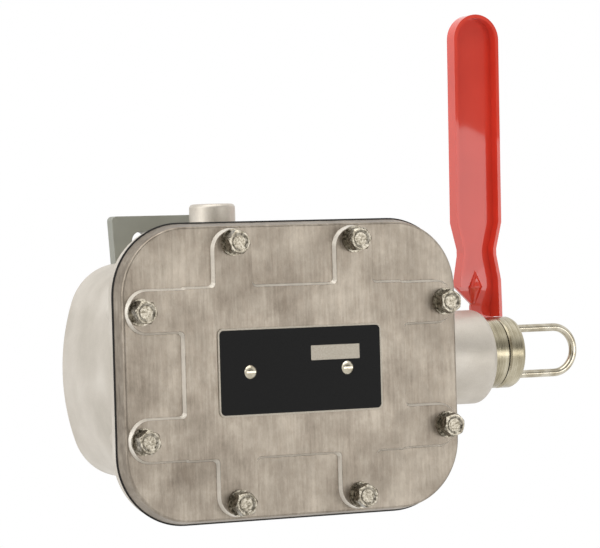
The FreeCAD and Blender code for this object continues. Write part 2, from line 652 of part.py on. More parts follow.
def make_housing():
    """The cast housing: tub, flange, conduit hub, side boss, posts, bosses and lever lug."""
    body = new_body("housing_body_casting")
    half_x, half_z = s.housing_half_width, s.housing_half_height

    tub = new_sketch(body, "tub", "front", housing_back)
    draw_barrel(tub, half_x, half_z, s.housing_side_radius, s.housing_corner)
    tub_pad = pad(body, tub, s.housing_depth + s.flange_thick / 2, s.housing_draft)
    back = -housing_back.value
    back_edges = edges_where(tub_pad, lambda p: abs(p.y - back) < 1e-3)
    fillet(body, tub_pad, back_edges, s.housing_back_round)

    flange = new_sketch(body, "flange", "front", flange_back)
    draw_rounded_rectangle(flange, -s.flange_half_width, s.flange_half_width,
                           -s.flange_half_height, s.flange_half_height, s.flange_corner)
    pad(body, flange, s.flange_thick)

    bosses = new_sketch(body, "screw_bosses", "front", flange_back - s.screw_boss_length)
    for x, z in SCREW_PLACES:
        draw_circle(bosses, x, z, s.screw_boss_radius)
    pad(body, bosses, s.screw_boss_length + s.flange_thick / 2)

    boss = new_sketch(body, "side_boss", "side", half_x - s.wall / 2)
    draw_circle(boss, -s.axis_depth, s.boss_rise, s.boss_radius)
    boss_pad = pad(body, boss, s.boss_end - half_x + s.wall / 2)
    end = s.boss_end.value
    fillet(body, boss_pad, edges_where(boss_pad, lambda p: abs(p.x - end) < 1e-3), s.boss_round)

    hub = new_sketch(body, "conduit_hub", "top", half_z - s.wall / 2)
    draw_circle(hub, -s.hub_shift, -s.hub_depth, s.hub_radius)
    hub_pad = pad(body, hub, s.hub_top - half_z + s.wall / 2)
    top = s.hub_top.value
    fillet(body, hub_pad, edges_where(hub_pad, lambda p: abs(p.z - top) < 1e-3), s.hub_round)

    lug = new_sketch(body, "lever_lug", "front", s.lug_depth - s.lug_thick)
    draw_rounded_rectangle(lug, s.lug_start, s.pivot_x + s.lug_radius,
                           s.axis_rise - s.lug_radius, s.axis_rise + s.lug_radius,
                           s.lug_radius * 0.98)
    pad(body, lug, s.lug_thick)
    web = new_sketch(body, "lug_web", "front", s.lug_depth - s.lug_thick)
    draw_rounded_rectangle(web, s.housing_half_width - s.wall / 2, s.lug_web_end,
                           s.axis_rise - s.lug_radius, s.axis_rise + s.lug_radius, s.lug_radius / 4)
    pad(body, web, s.lug_thick + s.boss_radius / 2)

    cavity = new_sketch(body, "cavity", "front", flange_front)
    draw_inner_outline(cavity)
    pocket(body, cavity, flange_front - housing_inside)

    inner = new_sketch(body, "plate_bosses", "front", housing_inside - s.floor / 2)
    for x, z in PLATE_SCREWS:
        draw_circle(inner, x, z, s.plate_boss_radius)
    pad(body, inner, s.floor / 2 + s.plate_boss_length)

    earth = new_sketch(body, "ground_boss", "front", housing_inside - s.floor / 2)
    draw_circle(earth, -s.earth_x, -s.earth_z, s.earth_boss)
    pad(body, earth, s.floor / 2 + s.earth_boss_length)

    posts = new_sketch(body, "panel_posts", "front", housing_inside - s.floor / 2)
    for x, z in PANEL_POSTS:
        draw_circle(posts, x, z, s.post_radius)
    pad(body, posts, s.panel_depth - housing_inside + s.floor / 2)

    stubs = new_sketch(body, "block_posts", "front", housing_inside - s.floor / 2)
    for x, z in BLOCK_POSTS:
        draw_circle(stubs, x, z, s.post_radius)
    pad(body, stubs, s.block_depth - housing_inside + s.floor / 2)

    guide = new_sketch(body, "shaft_guide", "side", s.guide_middle - s.guide_thick / 2)
    draw_rounded_rectangle(guide, -s.axis_depth - s.guide_half, -housing_inside + s.floor / 2,
                           s.axis_rise - s.guide_half, s.axis_rise + s.guide_half, s.floor / 3)
    pad(body, guide, s.guide_thick)

    # The bores, from the outside inwards.
    bore = new_sketch(body, "boss_bore", "side", s.boss_end)
    draw_circle(bore, -s.axis_depth, s.axis_rise, s.boss_bore)
    pocket(body, bore, s.boss_end - half_x + s.wall + s.floor)
    guide_bore = new_sketch(body, "guide_bore", "side", s.guide_middle + s.guide_thick)
    draw_circle(guide_bore, -s.axis_depth, s.axis_rise, s.shaft_radius + s.shaft_clearance)
    pocket(body, guide_bore, s.guide_thick * 2)
    thread = new_sketch(body, "hub_thread", "top", s.hub_top)
    draw_circle(thread, -s.hub_shift, -s.hub_depth, s.hub_bore)
    pocket(body, thread, s.hub_thread_length)
    throat = new_sketch(body, "hub_throat", "top", s.hub_top)
    draw_circle(throat, -s.hub_shift, -s.hub_depth, s.hub_throat)
    pocket(body, throat, s.hub_top - half_z + s.wall * 2)

    taps = new_sketch(body, "cover_taps", "front", flange_front)
    for x, z in SCREW_PLACES:
        draw_circle(taps, x, z, s.screw_radius + s.tap_fit)
    pocket(body, taps, s.flange_thick + s.screw_boss_length - s.floor / 2)
    plate_taps = new_sketch(body, "plate_taps", "front", housing_back + s.plate_screw_length + 1.0)
    for x, z in PLATE_SCREWS:
        draw_circle(plate_taps, x, z, s.plate_screw_radius + s.tap_fit)
    pocket(body, plate_taps, s.plate_screw_length + 1.0)
    small_taps = new_sketch(body, "panel_taps", "front", s.panel_depth)
    for x, z in PANEL_POSTS:
        draw_circle(small_taps, x, z, s.post_screw_radius + s.tap_fit)
    pocket(body, small_taps, s.post_screw_length + 1.0)
    block_taps = new_sketch(body, "block_taps", "front", s.block_depth)
    for x, z in BLOCK_POSTS:
        draw_circle(block_taps, x, z, s.post_screw_radius + s.tap_fit)
    pocket(body, block_taps, s.post_screw_length + 1.0)
    earth_tap = new_sketch(body, "ground_tap", "front", housing_inside + s.earth_boss_length)
    draw_circle(earth_tap, -s.earth_x, -s.earth_z, s.earth_radius + s.tap_fit)
    pocket(body, earth_tap, s.earth_length + 1.0)
    pivot_bore = new_sketch(body, "pivot_bore", "front", s.lug_depth)
    draw_circle(pivot_bore, s.pivot_x, s.axis_rise, s.pivot_radius + s.tap_fit)
    pocket(body, pivot_bore, s.lug_thick)
    keep("housing_body", body)


def make_gasket():
    body = new_body("gasket_sheet")
    outer = new_sketch(body, "gasket_outer", "front", flange_front)
    draw_rounded_rectangle(outer, -s.flange_half_width, s.flange_half_width,
                           -s.flange_half_height, s.flange_half_height, s.flange_corner)
    pad(body, outer, s.gasket_thick)
    inner = new_sketch(body, "gasket_inner", "front", cover_back)
    draw_inner_outline(inner)
    pocket(body, inner, s.gasket_thick)
    holes = new_sketch(body, "gasket_holes", "front", cover_back)
    for x, z in SCREW_PLACES:
        draw_circle(holes, x, z, s.screw_radius + s.screw_clearance)
    pocket(body, holes, s.gasket_thick)
    keep("cover_gasket", body)


def make_cover():
    """The cast cover: a plate with sloped sides, a raised field and eight raised fingers."""
    body = new_body("cover_casting")
    base = new_sketch(body, "cover_plate", "front", cover_back)
    draw_rounded_rectangle(base, -s.cover_half_width, s.cover_half_width,
                           -s.cover_half_height, s.cover_half_height, s.cover_corner)
    base_pad = pad(body, base, s.cover_thick, -s.cover_draft)
    front = -sunk_front.value
    fillet(body, base_pad, edges_where(base_pad, lambda p: abs(p.y - front) < 1e-3), s.cover_edge_round)

    field = new_sketch(body, "raised_field", "front", sunk_front)
    draw_rounded_rectangle(field, -s.field_half_width, s.field_half_width,
                           -s.field_half_height, s.field_half_height, s.field_corner)
    pad(body, field, s.field_rise, -s.field_slope)
    half = s.finger_width / 2
    reach_x = s.cover_half_width - s.finger_margin
    reach_z = s.cover_half_height - s.finger_margin
    inner_x = s.field_half_width / 2
    inner_z = s.field_half_height / 2
    for index, (sign_x, sign_z, side) in enumerate(SCREW_SIGNS):
        x, z = screw_place(sign_x, sign_z, side)
        finger = new_sketch(body, "finger_%d" % index, "front", sunk_front - s.cover_edge_round)
        if side and sign_x > 0:
            draw_rounded_rectangle(finger, inner_x, reach_x, z - half, z + half, s.finger_corner)
        elif side:
            draw_rounded_rectangle(finger, -reach_x, -inner_x, z - half, z + half, s.finger_corner)
        elif sign_z > 0:
            draw_rounded_rectangle(finger, x - half, x + half, inner_z, reach_z, s.finger_corner)
        else:
            draw_rounded_rectangle(finger, x - half, x + half, -reach_z, -inner_z, s.finger_corner)
        raised = pad(body, finger, s.field_rise + s.cover_edge_round, -s.field_slope)

    def in_inner_corner(point):
        beside = abs(abs(point.x) - s.field_half_width.value) < s.inner_round.value
        level = abs(abs(point.z) - s.field_half_height.value) < s.inner_round.value
        off_side_finger = abs(abs(abs(point.z) - s.screw_side_z.value) - half.value) < s.inner_round.value
        off_top_finger = abs(abs(abs(point.x) - s.screw_top_x.value) - half.value) < s.inner_round.value
        between = sunk_front.value - 0.01 <= -point.y <= field_front.value + 0.01
        return between and ((beside and off_side_finger) or (level and off_top_finger))

    def rises(name):
        edge = raised.Shape.Edges[int(name[4:]) - 1]
        return abs(edge.BoundBox.YLength - s.field_rise.value) < 0.01

    corners = [name for name in edges_where(raised, in_inner_corner) if rises(name)]
    fillet(body, raised, corners, s.inner_round)

    recess = new_sketch(body, "cover_recess_shape", "front", cover_back + s.cover_recess)
    draw_inner_outline(recess)
    pocket(body, recess, s.cover_recess)
    holes = new_sketch(body, "cover_holes", "front", field_front)
    for x, z in SCREW_PLACES:
        draw_circle(holes, x, z, s.screw_radius + s.screw_clearance)
    pocket(body, holes, field_front - cover_back)
    rivets = new_sketch(body, "rivet_holes", "front", field_front)
    for sign in (-1, 1):
        draw_circle(rivets, s.rivet_shift + s.rivet_half_pitch * sign, 0.0, s.rivet_shank + s.tap_fit)
    pocket(body, rivets, s.rivet_length)
    keep("cover", body)


def make_cover_screws():
    """Eight hexagon screws with cupped heads, their flat washers and their split lock washers."""
    screws = []
    washers = []
    locks = []
    lock_back = field_front + s.washer_thick
    head_back = lock_back + s.lock_thick
    for index, (x, z) in enumerate(SCREW_PLACES):
        head = hexagon("head_%d" % index, s.screw_flats, s.screw_head, x, head_back, z, HEAD_TURNS[index])
        dome = cone("head_limit_%d" % index, s.screw_flats / 2 + s.screw_head, s.screw_flats / 2 * 0.98,
                    s.screw_head, ALONG_DEPTH, x, head_back, z)
        crowned = common("crowned_%d" % index, head, dome)
        cup = cone("cup_%d" % index, s.screw_flats / 2 - s.screw_cup * 2.5, s.screw_flats / 2 - s.screw_cup,
                   s.screw_cup, ALONG_DEPTH, x, head_back + s.screw_head - s.screw_cup, z)
        cupped = cut("cupped_%d" % index, crowned, [cup])
        shank = cylinder("shank_%d" % index, s.screw_radius, head_back - field_front + s.screw_length,
                         ALONG_DEPTH, x, field_front - s.screw_length, z)
        screws.append(fuse("cover_screw_%d" % index, [cupped, shank]))
        disc = cylinder("disc_%d" % index, s.washer_radius, s.washer_thick, ALONG_DEPTH, x, field_front, z)
        eye = cylinder("disc_eye_%d" % index, s.screw_radius + s.screw_clearance, s.washer_thick,
                       ALONG_DEPTH, x, field_front, z)
        washers.append(cut("washer_%d" % index, disc, [eye]))
        coil = cylinder("lock_%d" % index, s.lock_radius, s.lock_thick, ALONG_DEPTH, x, lock_back, z)
        coil_eye = cylinder("lock_eye_%d" % index, s.screw_radius + s.screw_clearance, s.lock_thick,
                            ALONG_DEPTH, x, lock_back, z)
        slit = block("lock_slit_%d" % index, x, x + s.lock_radius, lock_back, head_back,
                     z - s.lock_slit / 2, z + s.lock_slit / 2)
        locks.append(cut("lock_washer_%d" % index, coil, [coil_eye, slit]))
    keep("cover_screws", group("cover_screw_group", screws))
    keep("cover_washers", group("cover_washer_group", washers))
    keep("cover_lock_washers", group("cover_lock_group", locks))


def make_nameplate():
    body = new_body("name_sheet")
    outline = new_sketch(body, "name_outline", "front", field_front, s.name_shift)
    draw_rounded_rectangle(outline, -s.name_width / 2, s.name_width / 2,
                           -s.name_height / 2, s.name_height / 2, s.name_corner)
    pad(body, outline, s.name_thick)
    holes = new_sketch(body, "name_holes", "front", field_front + s.name_thick)
    for sign in (-1, 1):
        draw_circle(holes, s.rivet_shift + s.rivet_half_pitch * sign, 0.0, s.rivet_shank + s.tap_fit)
    pocket(body, holes, s.name_thick)
    keep("nameplate", body)

    rivets = []
    face = field_front + s.name_thick
    for index, sign in enumerate((-1, 1)):
        x = s.rivet_shift + s.rivet_half_pitch * sign
        drum = cylinder("rivet_drum_%d" % index, s.rivet_radius, s.rivet_rise, ALONG_DEPTH, x, face, 0.0)
        ball = doc.addObject("Part::Sphere", "rivet_ball_%d" % index)
        bulge = (s.rivet_radius * s.rivet_radius + s.rivet_rise * s.rivet_rise) / (s.rivet_rise * 2)
        bind(ball, "Radius", bulge)
        place(ball, ALONG_Z, x, face + s.rivet_rise - bulge, 0.0)
        dome = common("rivet_dome_%d" % index, drum, ball)
        slot = block("rivet_slot_%d" % index, x - s.rivet_radius, x + s.rivet_radius,
                     face + s.rivet_rise / 2, face + s.rivet_rise, -s.slot_width / 2, s.slot_width / 2)
        head = cut("rivet_head_%d" % index, dome, [slot])
        shank = cylinder("rivet_shank_%d" % index, s.rivet_shank, s.rivet_length,
                         ALONG_DEPTH, x, face - s.rivet_length, 0.0)
        rivets.append(fuse("rivet_%d" % index, [head, shank]))
    keep("nameplate_rivets", group("rivet_group", rivets))


def make_mounting_plate():
    """The steel plate on the back, narrower at its foot, with three holes for wall bolts."""
    body = new_body("back_plate")
    outline = new_sketch(body, "plate_outline", "front", 0.0, -s.plate_middle)
    draw_polygon(outline, [(-s.plate_foot_half, -s.plate_foot), (s.plate_foot_half, -s.plate_foot),
                           (s.plate_top_half, s.plate_top), (-s.plate_top_half, s.plate_top)])
    plate = pad(body, outline, s.plate_thick)
    foot, top = -s.plate_foot.value, s.plate_top.value
    upright = edges_where(plate, lambda p: abs(p.z - foot) < 1e-3)
    upright = [name for name in upright if plate.Shape.Edges[int(name[4:]) - 1].Length < s.plate_thick.value + 0.1]
    low = fillet(body, plate, upright, s.plate_foot_round)
    corners = edges_where(low, lambda p: abs(p.z - top) < 1e-3)
    corners = [name for name in corners if low.Shape.Edges[int(name[4:]) - 1].Length < s.plate_thick.value + 0.1]
    fillet(body, low, corners, s.plate_round)
    holes = new_sketch(body, "wall_holes", "front", s.plate_thick, -s.plate_middle)
    for sign in (-1, 1):
        draw_circle(holes, s.mount_hole_half_pitch * sign, s.mount_hole_rise, s.mount_hole_radius)
    draw_circle(holes, 0.0, -s.mount_hole_drop, s.mount_hole_radius)
    pocket(body, holes, s.plate_thick)
    screws = new_sketch(body, "plate_screw_holes", "front", s.plate_thick)
    for x, z in PLATE_SCREWS:
        draw_circle(screws, x, z, s.plate_screw_radius + s.screw_clearance)
    pocket(body, screws, s.plate_thick)
    sinks = new_sketch(body, "plate_screw_sinks", "front", s.plate_screw_head)
    for x, z in PLATE_SCREWS:
        draw_circle(sinks, x, z, s.plate_screw_head_radius + s.screw_clearance)
    pocket(body, sinks, s.plate_screw_head)
    keep("mounting_plate", body)

    screws = []
    for index, (x, z) in enumerate(PLATE_SCREWS):
        head = cylinder("plate_head_%d" % index, s.plate_screw_head_radius, s.plate_screw_head - 0.4,
                        ALONG_DEPTH, x, 0.4, z)
        socket = hexagon("plate_socket_%d" % index, s.plate_screw_radius * 1.5, 2.0, x, 0.4, z, 0)
        bored = cut("plate_bored_%d" % index, head, [socket])
        shank = cylinder("plate_shank_%d" % index, s.plate_screw_radius,
                         s.plate_thick - s.plate_screw_head + s.plate_screw_length,
                         ALONG_DEPTH, x, s.plate_screw_head, z)
        screws.append(fuse("plate_screw_%d" % index, [bored, shank]))
    keep("plate_screws", group("plate_screw_group", screws))


def make_spring(seat_end):
    """The return spring, made of half turns that each lean a little, with a closed turn at each end."""
    coil_length = s.spring_length - s.spring_wire * 2 - s.side_gap * 2
    end_step = s.spring_end_pitch / 2
    step = (coil_length - end_step * 2) / (s.spring_turns * 2)
    steps = [end_step] + [step] * int(s.spring_turns.value * 2) + [end_step]
    start = seat_end + s.side_gap + s.spring_wire
    halves = []
    for index, rise in enumerate(steps):
        half = doc.addObject("Part::Torus", "spring_half_turn_%d" % index)
        half.Angle3 = 180.0
        reach = "hypot(%s; %s / 2)" % (s.spring_radius.text, rise.text)
        half.setExpression("Radius1", reach)
        bind(half, "Radius2", s.spring_wire)
        place(half, ALONG_X, start + rise / 2, s.axis_depth, s.axis_rise)
        lean = "atan(%s / 2 / %s)" % (rise.text, s.spring_radius.text)
        if index % 2 == 0:
            half.setExpression("Placement.Rotation.Angle", "90deg + " + lean)
        else:
            half.Placement.Rotation = FreeCAD.Rotation(FreeCAD.Vector(1, 0, 1), 180)
            half.setExpression("Placement.Rotation.Axis.x", "sin((90deg - %s) / 2)" % lean)
            half.setExpression("Placement.Rotation.Axis.z", "cos((90deg - %s) / 2)" % lean)
        start = start + rise
        halves.append(half)
    return fuse("spring_coil", halves)


def make_pull_parts():
    """The turned pieces on the pull axis, the ring and the spring."""
    shaft, gap = s.shaft_radius, s.shaft_clearance
    end = s.boss_end
    bushing_start = end - s.bushing_length
    bushing = turned("bushing_turned", [(bushing_start, shaft + gap), (end, shaft + gap),
                                        (end, s.boss_bore - s.tap_fit), (bushing_start, s.boss_bore - s.tap_fit)])
    keep("shaft_bushing", bushing)

    gland_end = end + s.gland_length
    seal_room = s.seal_wire * 2 + 0.2
    seal_outer = shaft + gap + seal_room
    gland = turned("gland_turned", [(end + seal_room, shaft + gap), (gland_end, shaft + gap),
                                    (gland_end, s.gland_radius - s.gland_round),
                                    (gland_end - s.gland_round, s.gland_radius),
                                    (end + s.gland_round, s.gland_radius),
                                    (end, s.gland_radius - s.gland_round),
                                    (end, seal_outer), (end + seal_room, seal_outer)])
    keep("gland_ring", gland)

    seal = doc.addObject("Part::Torus", "seal_torus")
    bind(seal, "Radius1", shaft + gap + s.seal_wire)
    bind(seal, "Radius2", s.seal_wire)
    place(seal, ALONG_X, end + seal_room / 2, s.axis_depth, s.axis_rise)
    keep("shaft_seal", seal)

    collar_start = gland_end + s.collar_gap
    collar_end = collar_start + s.collar_length
    seat_end = bushing_start - s.spring_length
    seat_start = seat_end - s.seat_thick
    clip_start = seat_start - s.clip_thick
    spigot = s.shaft_spigot
    rod = turned("shaft_turned", [(s.shaft_inner_end, 0.0), (collar_end - 2.0, 0.0),
                                  (collar_end - 2.0, spigot), (collar_start, spigot),
                                  (collar_start, shaft),
                                  (seat_start, shaft), (seat_start, s.groove_radius),
                                  (clip_start, s.groove_radius), (clip_start, shaft),
                                  (s.shaft_inner_end + 1.0, shaft), (s.shaft_inner_end, shaft - 1.0)])
    keep("pull_shaft", rod)

    disc = turned("collar_turned", [(collar_start, spigot), (collar_end - 2.0, spigot), (collar_end - 2.0, 0.0),
                                    (collar_end, 0.0), (collar_end, s.collar_radius - s.collar_round),
                                    (collar_end - s.collar_round * 0.3, s.collar_radius - s.collar_round * 0.3),
                                    (collar_end - s.collar_round, s.collar_radius),
                                    (collar_start + s.gland_round, s.collar_radius),
                                    (collar_start, s.collar_radius - s.gland_round)])
    legs = new_sketch(disc, "ring_holes", "side", collar_end)
    for sign in (-1, 1):
        draw_circle(legs, -s.axis_depth, s.axis_rise + s.ring_half_width * sign, s.ring_wire)
    pocket(disc, legs, s.ring_seat)
    keep("pull_collar", disc)

    bend_x = s.ring_reach - s.ring_wire - s.ring_half_width
    leg_start = collar_end - s.ring_seat
    bend = doc.addObject("Part::Torus", "ring_bend")
    bind(bend, "Radius1", s.ring_half_width)
    bind(bend, "Radius2", s.ring_wire)
    bend.Angle3 = 180.0
    turn = ALONG_DEPTH.multiply(FreeCAD.Rotation(FreeCAD.Vector(0, 0, 1), -90))
    place(bend, turn, bend_x, s.axis_depth, s.axis_rise)
    wires = [bend]
    for index, sign in enumerate((-1, 1)):
        wires.append(cylinder("ring_leg_%d" % index, s.ring_wire, bend_x - leg_start, ALONG_X,
                              leg_start, s.axis_depth, s.axis_rise + s.ring_half_width * sign))
    keep("pull_ring", fuse("ring_bent", wires))

    washer = turned("seat_turned", [(seat_start, shaft), (seat_end, shaft),
                                    (seat_end, s.boss_bore - s.seat_gap),
                                    (seat_start, s.boss_bore - s.seat_gap)])
    keep("spring_seat", washer)
    clip = turned("clip_turned", [(clip_start, s.groove_radius), (seat_start, s.groove_radius),
                                  (seat_start, s.clip_radius), (clip_start, s.clip_radius)])
    gap_cut = new_sketch(clip, "clip_mouth", "side", seat_start)
    draw_rounded_rectangle(gap_cut, -s.axis_depth - s.groove_radius * 0.8, -s.axis_depth + s.groove_radius * 0.8,
                           s.axis_rise - s.clip_radius - 1.0, s.axis_rise - s.groove_radius * 0.7, 0.5)
    pocket(clip, gap_cut, s.clip_thick)
    keep("shaft_clip", clip)

    keep("return_spring", make_spring(seat_end))

    land_end = s.cam_start + s.cam_land
    ramp_end = land_end + s.cam_ramp
    tail_end = ramp_end + s.cam_tail
    cam = turned("cam_turned", [(s.cam_start, shaft), (tail_end, shaft), (tail_end, s.cam_low),
                                (ramp_end, s.cam_low), (land_end, s.cam_high), (s.cam_start, s.cam_high)])
    keep("cam_sleeve", cam)


def make_switches():
    """The switch plate, two snap switches with plungers, and the roller arm that works them."""
    mid = s.axis_depth
    panel_front = s.panel_depth + s.panel_thick
    rear_from = panel_front
    rear_to = rear_from + s.switch_thick
    front_from = rear_to + s.switch_gap
    front_to = front_from + s.switch_thick
    switch_top = s.switch_foot + s.switch_height
    switch_end = s.switch_start + s.switch_length

    panel = block("panel_sheet", s.panel_start, s.panel_end, s.panel_depth, panel_front, s.panel_foot, s.panel_top)
    panel_holes = [cylinder("panel_hole_%d" % i, s.post_screw_radius + s.pin_gap, s.panel_thick,
                            ALONG_DEPTH, x, s.panel_depth, z) for i, (x, z) in enumerate(PANEL_POSTS)]
    screw_z = switch_top - s.switch_screw_inset
    screw_xs = [s.switch_start + s.switch_screw_inset, switch_end - s.switch_screw_inset]
    panel_holes += [cylinder("panel_switch_hole_%d" % i, s.switch_screw_radius, s.panel_thick,
                             ALONG_DEPTH, x, s.panel_depth, screw_z) for i, x in enumerate(screw_xs)]
    panel_holes.append(cylinder("panel_pin_hole", s.arm_pin_radius, s.panel_thick, ALONG_DEPTH,
                                s.arm_pivot_x, s.panel_depth, s.arm_pivot_z))
    keep("switch_plate", cut("panel_cut", panel, panel_holes))

    heads = []
    for index, (x, z) in enumerate(PANEL_POSTS):
        head = cylinder("panel_screw_head_%d" % index, s.post_screw_head_radius, s.post_screw_head,
                        ALONG_DEPTH, x, panel_front, z)
        shank = cylinder("panel_screw_shank_%d" % index, s.post_screw_radius,
                         s.panel_thick + s.post_screw_length, ALONG_DEPTH,
                         x, s.panel_depth - s.post_screw_length, z)
        slot = block("panel_screw_slot_%d" % index, x - s.post_screw_head_radius, x + s.post_screw_head_radius,
                     panel_front + s.post_screw_head / 2, panel_front + s.post_screw_head,
                     z - s.slot_width / 2, z + s.slot_width / 2)
        heads.append(cut("panel_screw_%d" % index, fuse("panel_screw_whole_%d" % index, [head, shank]), [slot]))
    keep("switch_plate_screws", group("panel_screw_group", heads))

    places = {"rear": (rear_from, rear_to), "front": (front_from, front_to)}
    for side, (depth_from, depth_to) in places.items():
        case = block("case_" + side, s.switch_start, switch_end, depth_from, depth_to, s.switch_foot, switch_top)
        middle = (depth_from + depth_to) / 2
        tools = [cylinder("case_hole_%s_%d" % (side, i), s.switch_screw_radius + s.pin_gap, s.switch_thick,
                          ALONG_DEPTH, x, depth_from, screw_z) for i, x in enumerate(screw_xs)]
        tools.append(cylinder("case_well_" + side, s.plunger_radius + s.pin_gap, s.plunger_well,
                              ALONG_Z, s.plunger_x, middle, s.switch_foot))
        keep("snap_switch_" + side, cut("case_cut_" + side, case, tools))
        stem = cylinder("stem_" + side, s.plunger_radius, s.plunger_out + s.plunger_in, ALONG_Z,
                        s.plunger_x, middle, s.switch_foot - s.plunger_out)
        keep("plunger_" + side, stem)

    long_screws = []
    for index, x in enumerate(screw_xs):
        head = cylinder("long_head_%d" % index, s.post_screw_head_radius, s.post_screw_head, ALONG_DEPTH,
                        x, front_to, screw_z)
        shank = cylinder("long_shank_%d" % index, s.switch_screw_radius, front_to - s.panel_depth,
                         ALONG_DEPTH, x, s.panel_depth, screw_z)
        slot = block("long_slot_%d" % index, x - s.post_screw_head_radius, x + s.post_screw_head_radius,
                     front_to + s.post_screw_head / 2, front_to + s.post_screw_head,
                     screw_z - s.slot_width / 2, screw_z + s.slot_width / 2)
        long_screws.append(cut("long_screw_%d" % index, fuse("long_whole_%d" % index, [head, shank]), [slot]))
    keep("switch_screws", group("long_screw_group", long_screws))

    # The roller touches the sloped part of the cam, so its centre stands off along the slope's normal.
    slope = (s.cam_high - s.cam_low) / s.cam_ramp
    angle = math.atan(slope.value)
    stand_off = s.roller_radius + s.roller_gap
    contact_radius = s.cam_high - (s.roller_contact - s.cam_start - s.cam_land) * slope
    roller_x = s.roller_contact + stand_off * math.sin(angle)
    roller_z = s.axis_rise + contact_radius + stand_off * math.cos(angle)
    roller_back = mid - s.roller_width / 2
    roller_front = mid + s.roller_width / 2
    wheel = cylinder("wheel", s.roller_radius, s.roller_width, ALONG_DEPTH, roller_x, roller_back, roller_z)
    eye = cylinder("wheel_eye", s.roller_pin_radius + s.pin_gap, s.roller_width, ALONG_DEPTH,
                   roller_x, roller_back, roller_z)
    keep("arm_roller", cut("wheel_cut", wheel, [eye]))

    arm_front = roller_back - s.side_gap
    arm_back = arm_front - s.arm_thick
    pin_head = 1.2
    pin = cylinder("roller_pin_rod", s.roller_pin_radius, roller_front + s.side_gap - arm_back,
                   ALONG_DEPTH, roller_x, arm_back, roller_z)
    cap = cylinder("roller_pin_cap", s.roller_pin_radius * 1.8, pin_head, ALONG_DEPTH,
                   roller_x, roller_front + s.side_gap, roller_z)
    keep("roller_pin", fuse("roller_pin_whole", [pin, cap]))

    # The arm is a flat plate with a hub, an eye for the roller pin and a tab bent forward.
    arm = new_body("arm_body")
    outline = new_sketch(arm, "arm_outline", "front", arm_back)
    tab_z = s.switch_foot - s.plunger_out - s.plunger_gap
    draw_polygon(outline, [(s.arm_pivot_x - s.arm_hub_radius, s.arm_pivot_z),
                           (s.arm_pivot_x, s.arm_pivot_z - s.arm_hub_radius),
                           (roller_x, roller_z - s.arm_eye), (roller_x + s.arm_eye, roller_z),
                           (s.plunger_x + s.tab_half, tab_z), (s.plunger_x - s.tab_half, tab_z)])
    pad(arm, outline, s.arm_thick)
    hub = new_sketch(arm, "arm_hub", "front", panel_front + s.side_gap)
    draw_circle(hub, s.arm_pivot_x, s.arm_pivot_z, s.arm_hub_radius)
    pad(arm, hub, roller_front - panel_front - s.side_gap)
    tab = new_sketch(arm, "arm_tab", "front", rear_from + s.side_gap)
    draw_rounded_rectangle(tab, s.plunger_x - s.tab_half, s.plunger_x + s.tab_half,
                           tab_z - s.tab_thick, tab_z, s.tab_thick / 3)
    pad(arm, tab, front_to - rear_from - s.side_gap)
    bores = new_sketch(arm, "arm_bores", "front", front_to)
    draw_circle(bores, s.arm_pivot_x, s.arm_pivot_z, s.arm_pin_radius + s.pin_gap)
    pocket(arm, bores, front_to - panel_front)
    pin_hole = new_sketch(arm, "arm_pin_hole", "front", arm_front)
    draw_circle(pin_hole, roller_x, roller_z, s.roller_pin_radius)
    pocket(arm, pin_hole, s.arm_thick)
    keep("actuator_arm", arm)

    pivot = cylinder("arm_pivot_rod", s.arm_pin_radius, roller_front + s.side_gap - s.panel_depth,
                     ALONG_DEPTH, s.arm_pivot_x, s.panel_depth, s.arm_pivot_z)
    pivot_cap = cylinder("arm_pivot_cap", s.arm_hub_radius, pin_head, ALONG_DEPTH,
                         s.arm_pivot_x, roller_front + s.side_gap, s.arm_pivot_z)
    keep("arm_pivot_pin", fuse("arm_pivot_whole", [pivot, pivot_cap]))


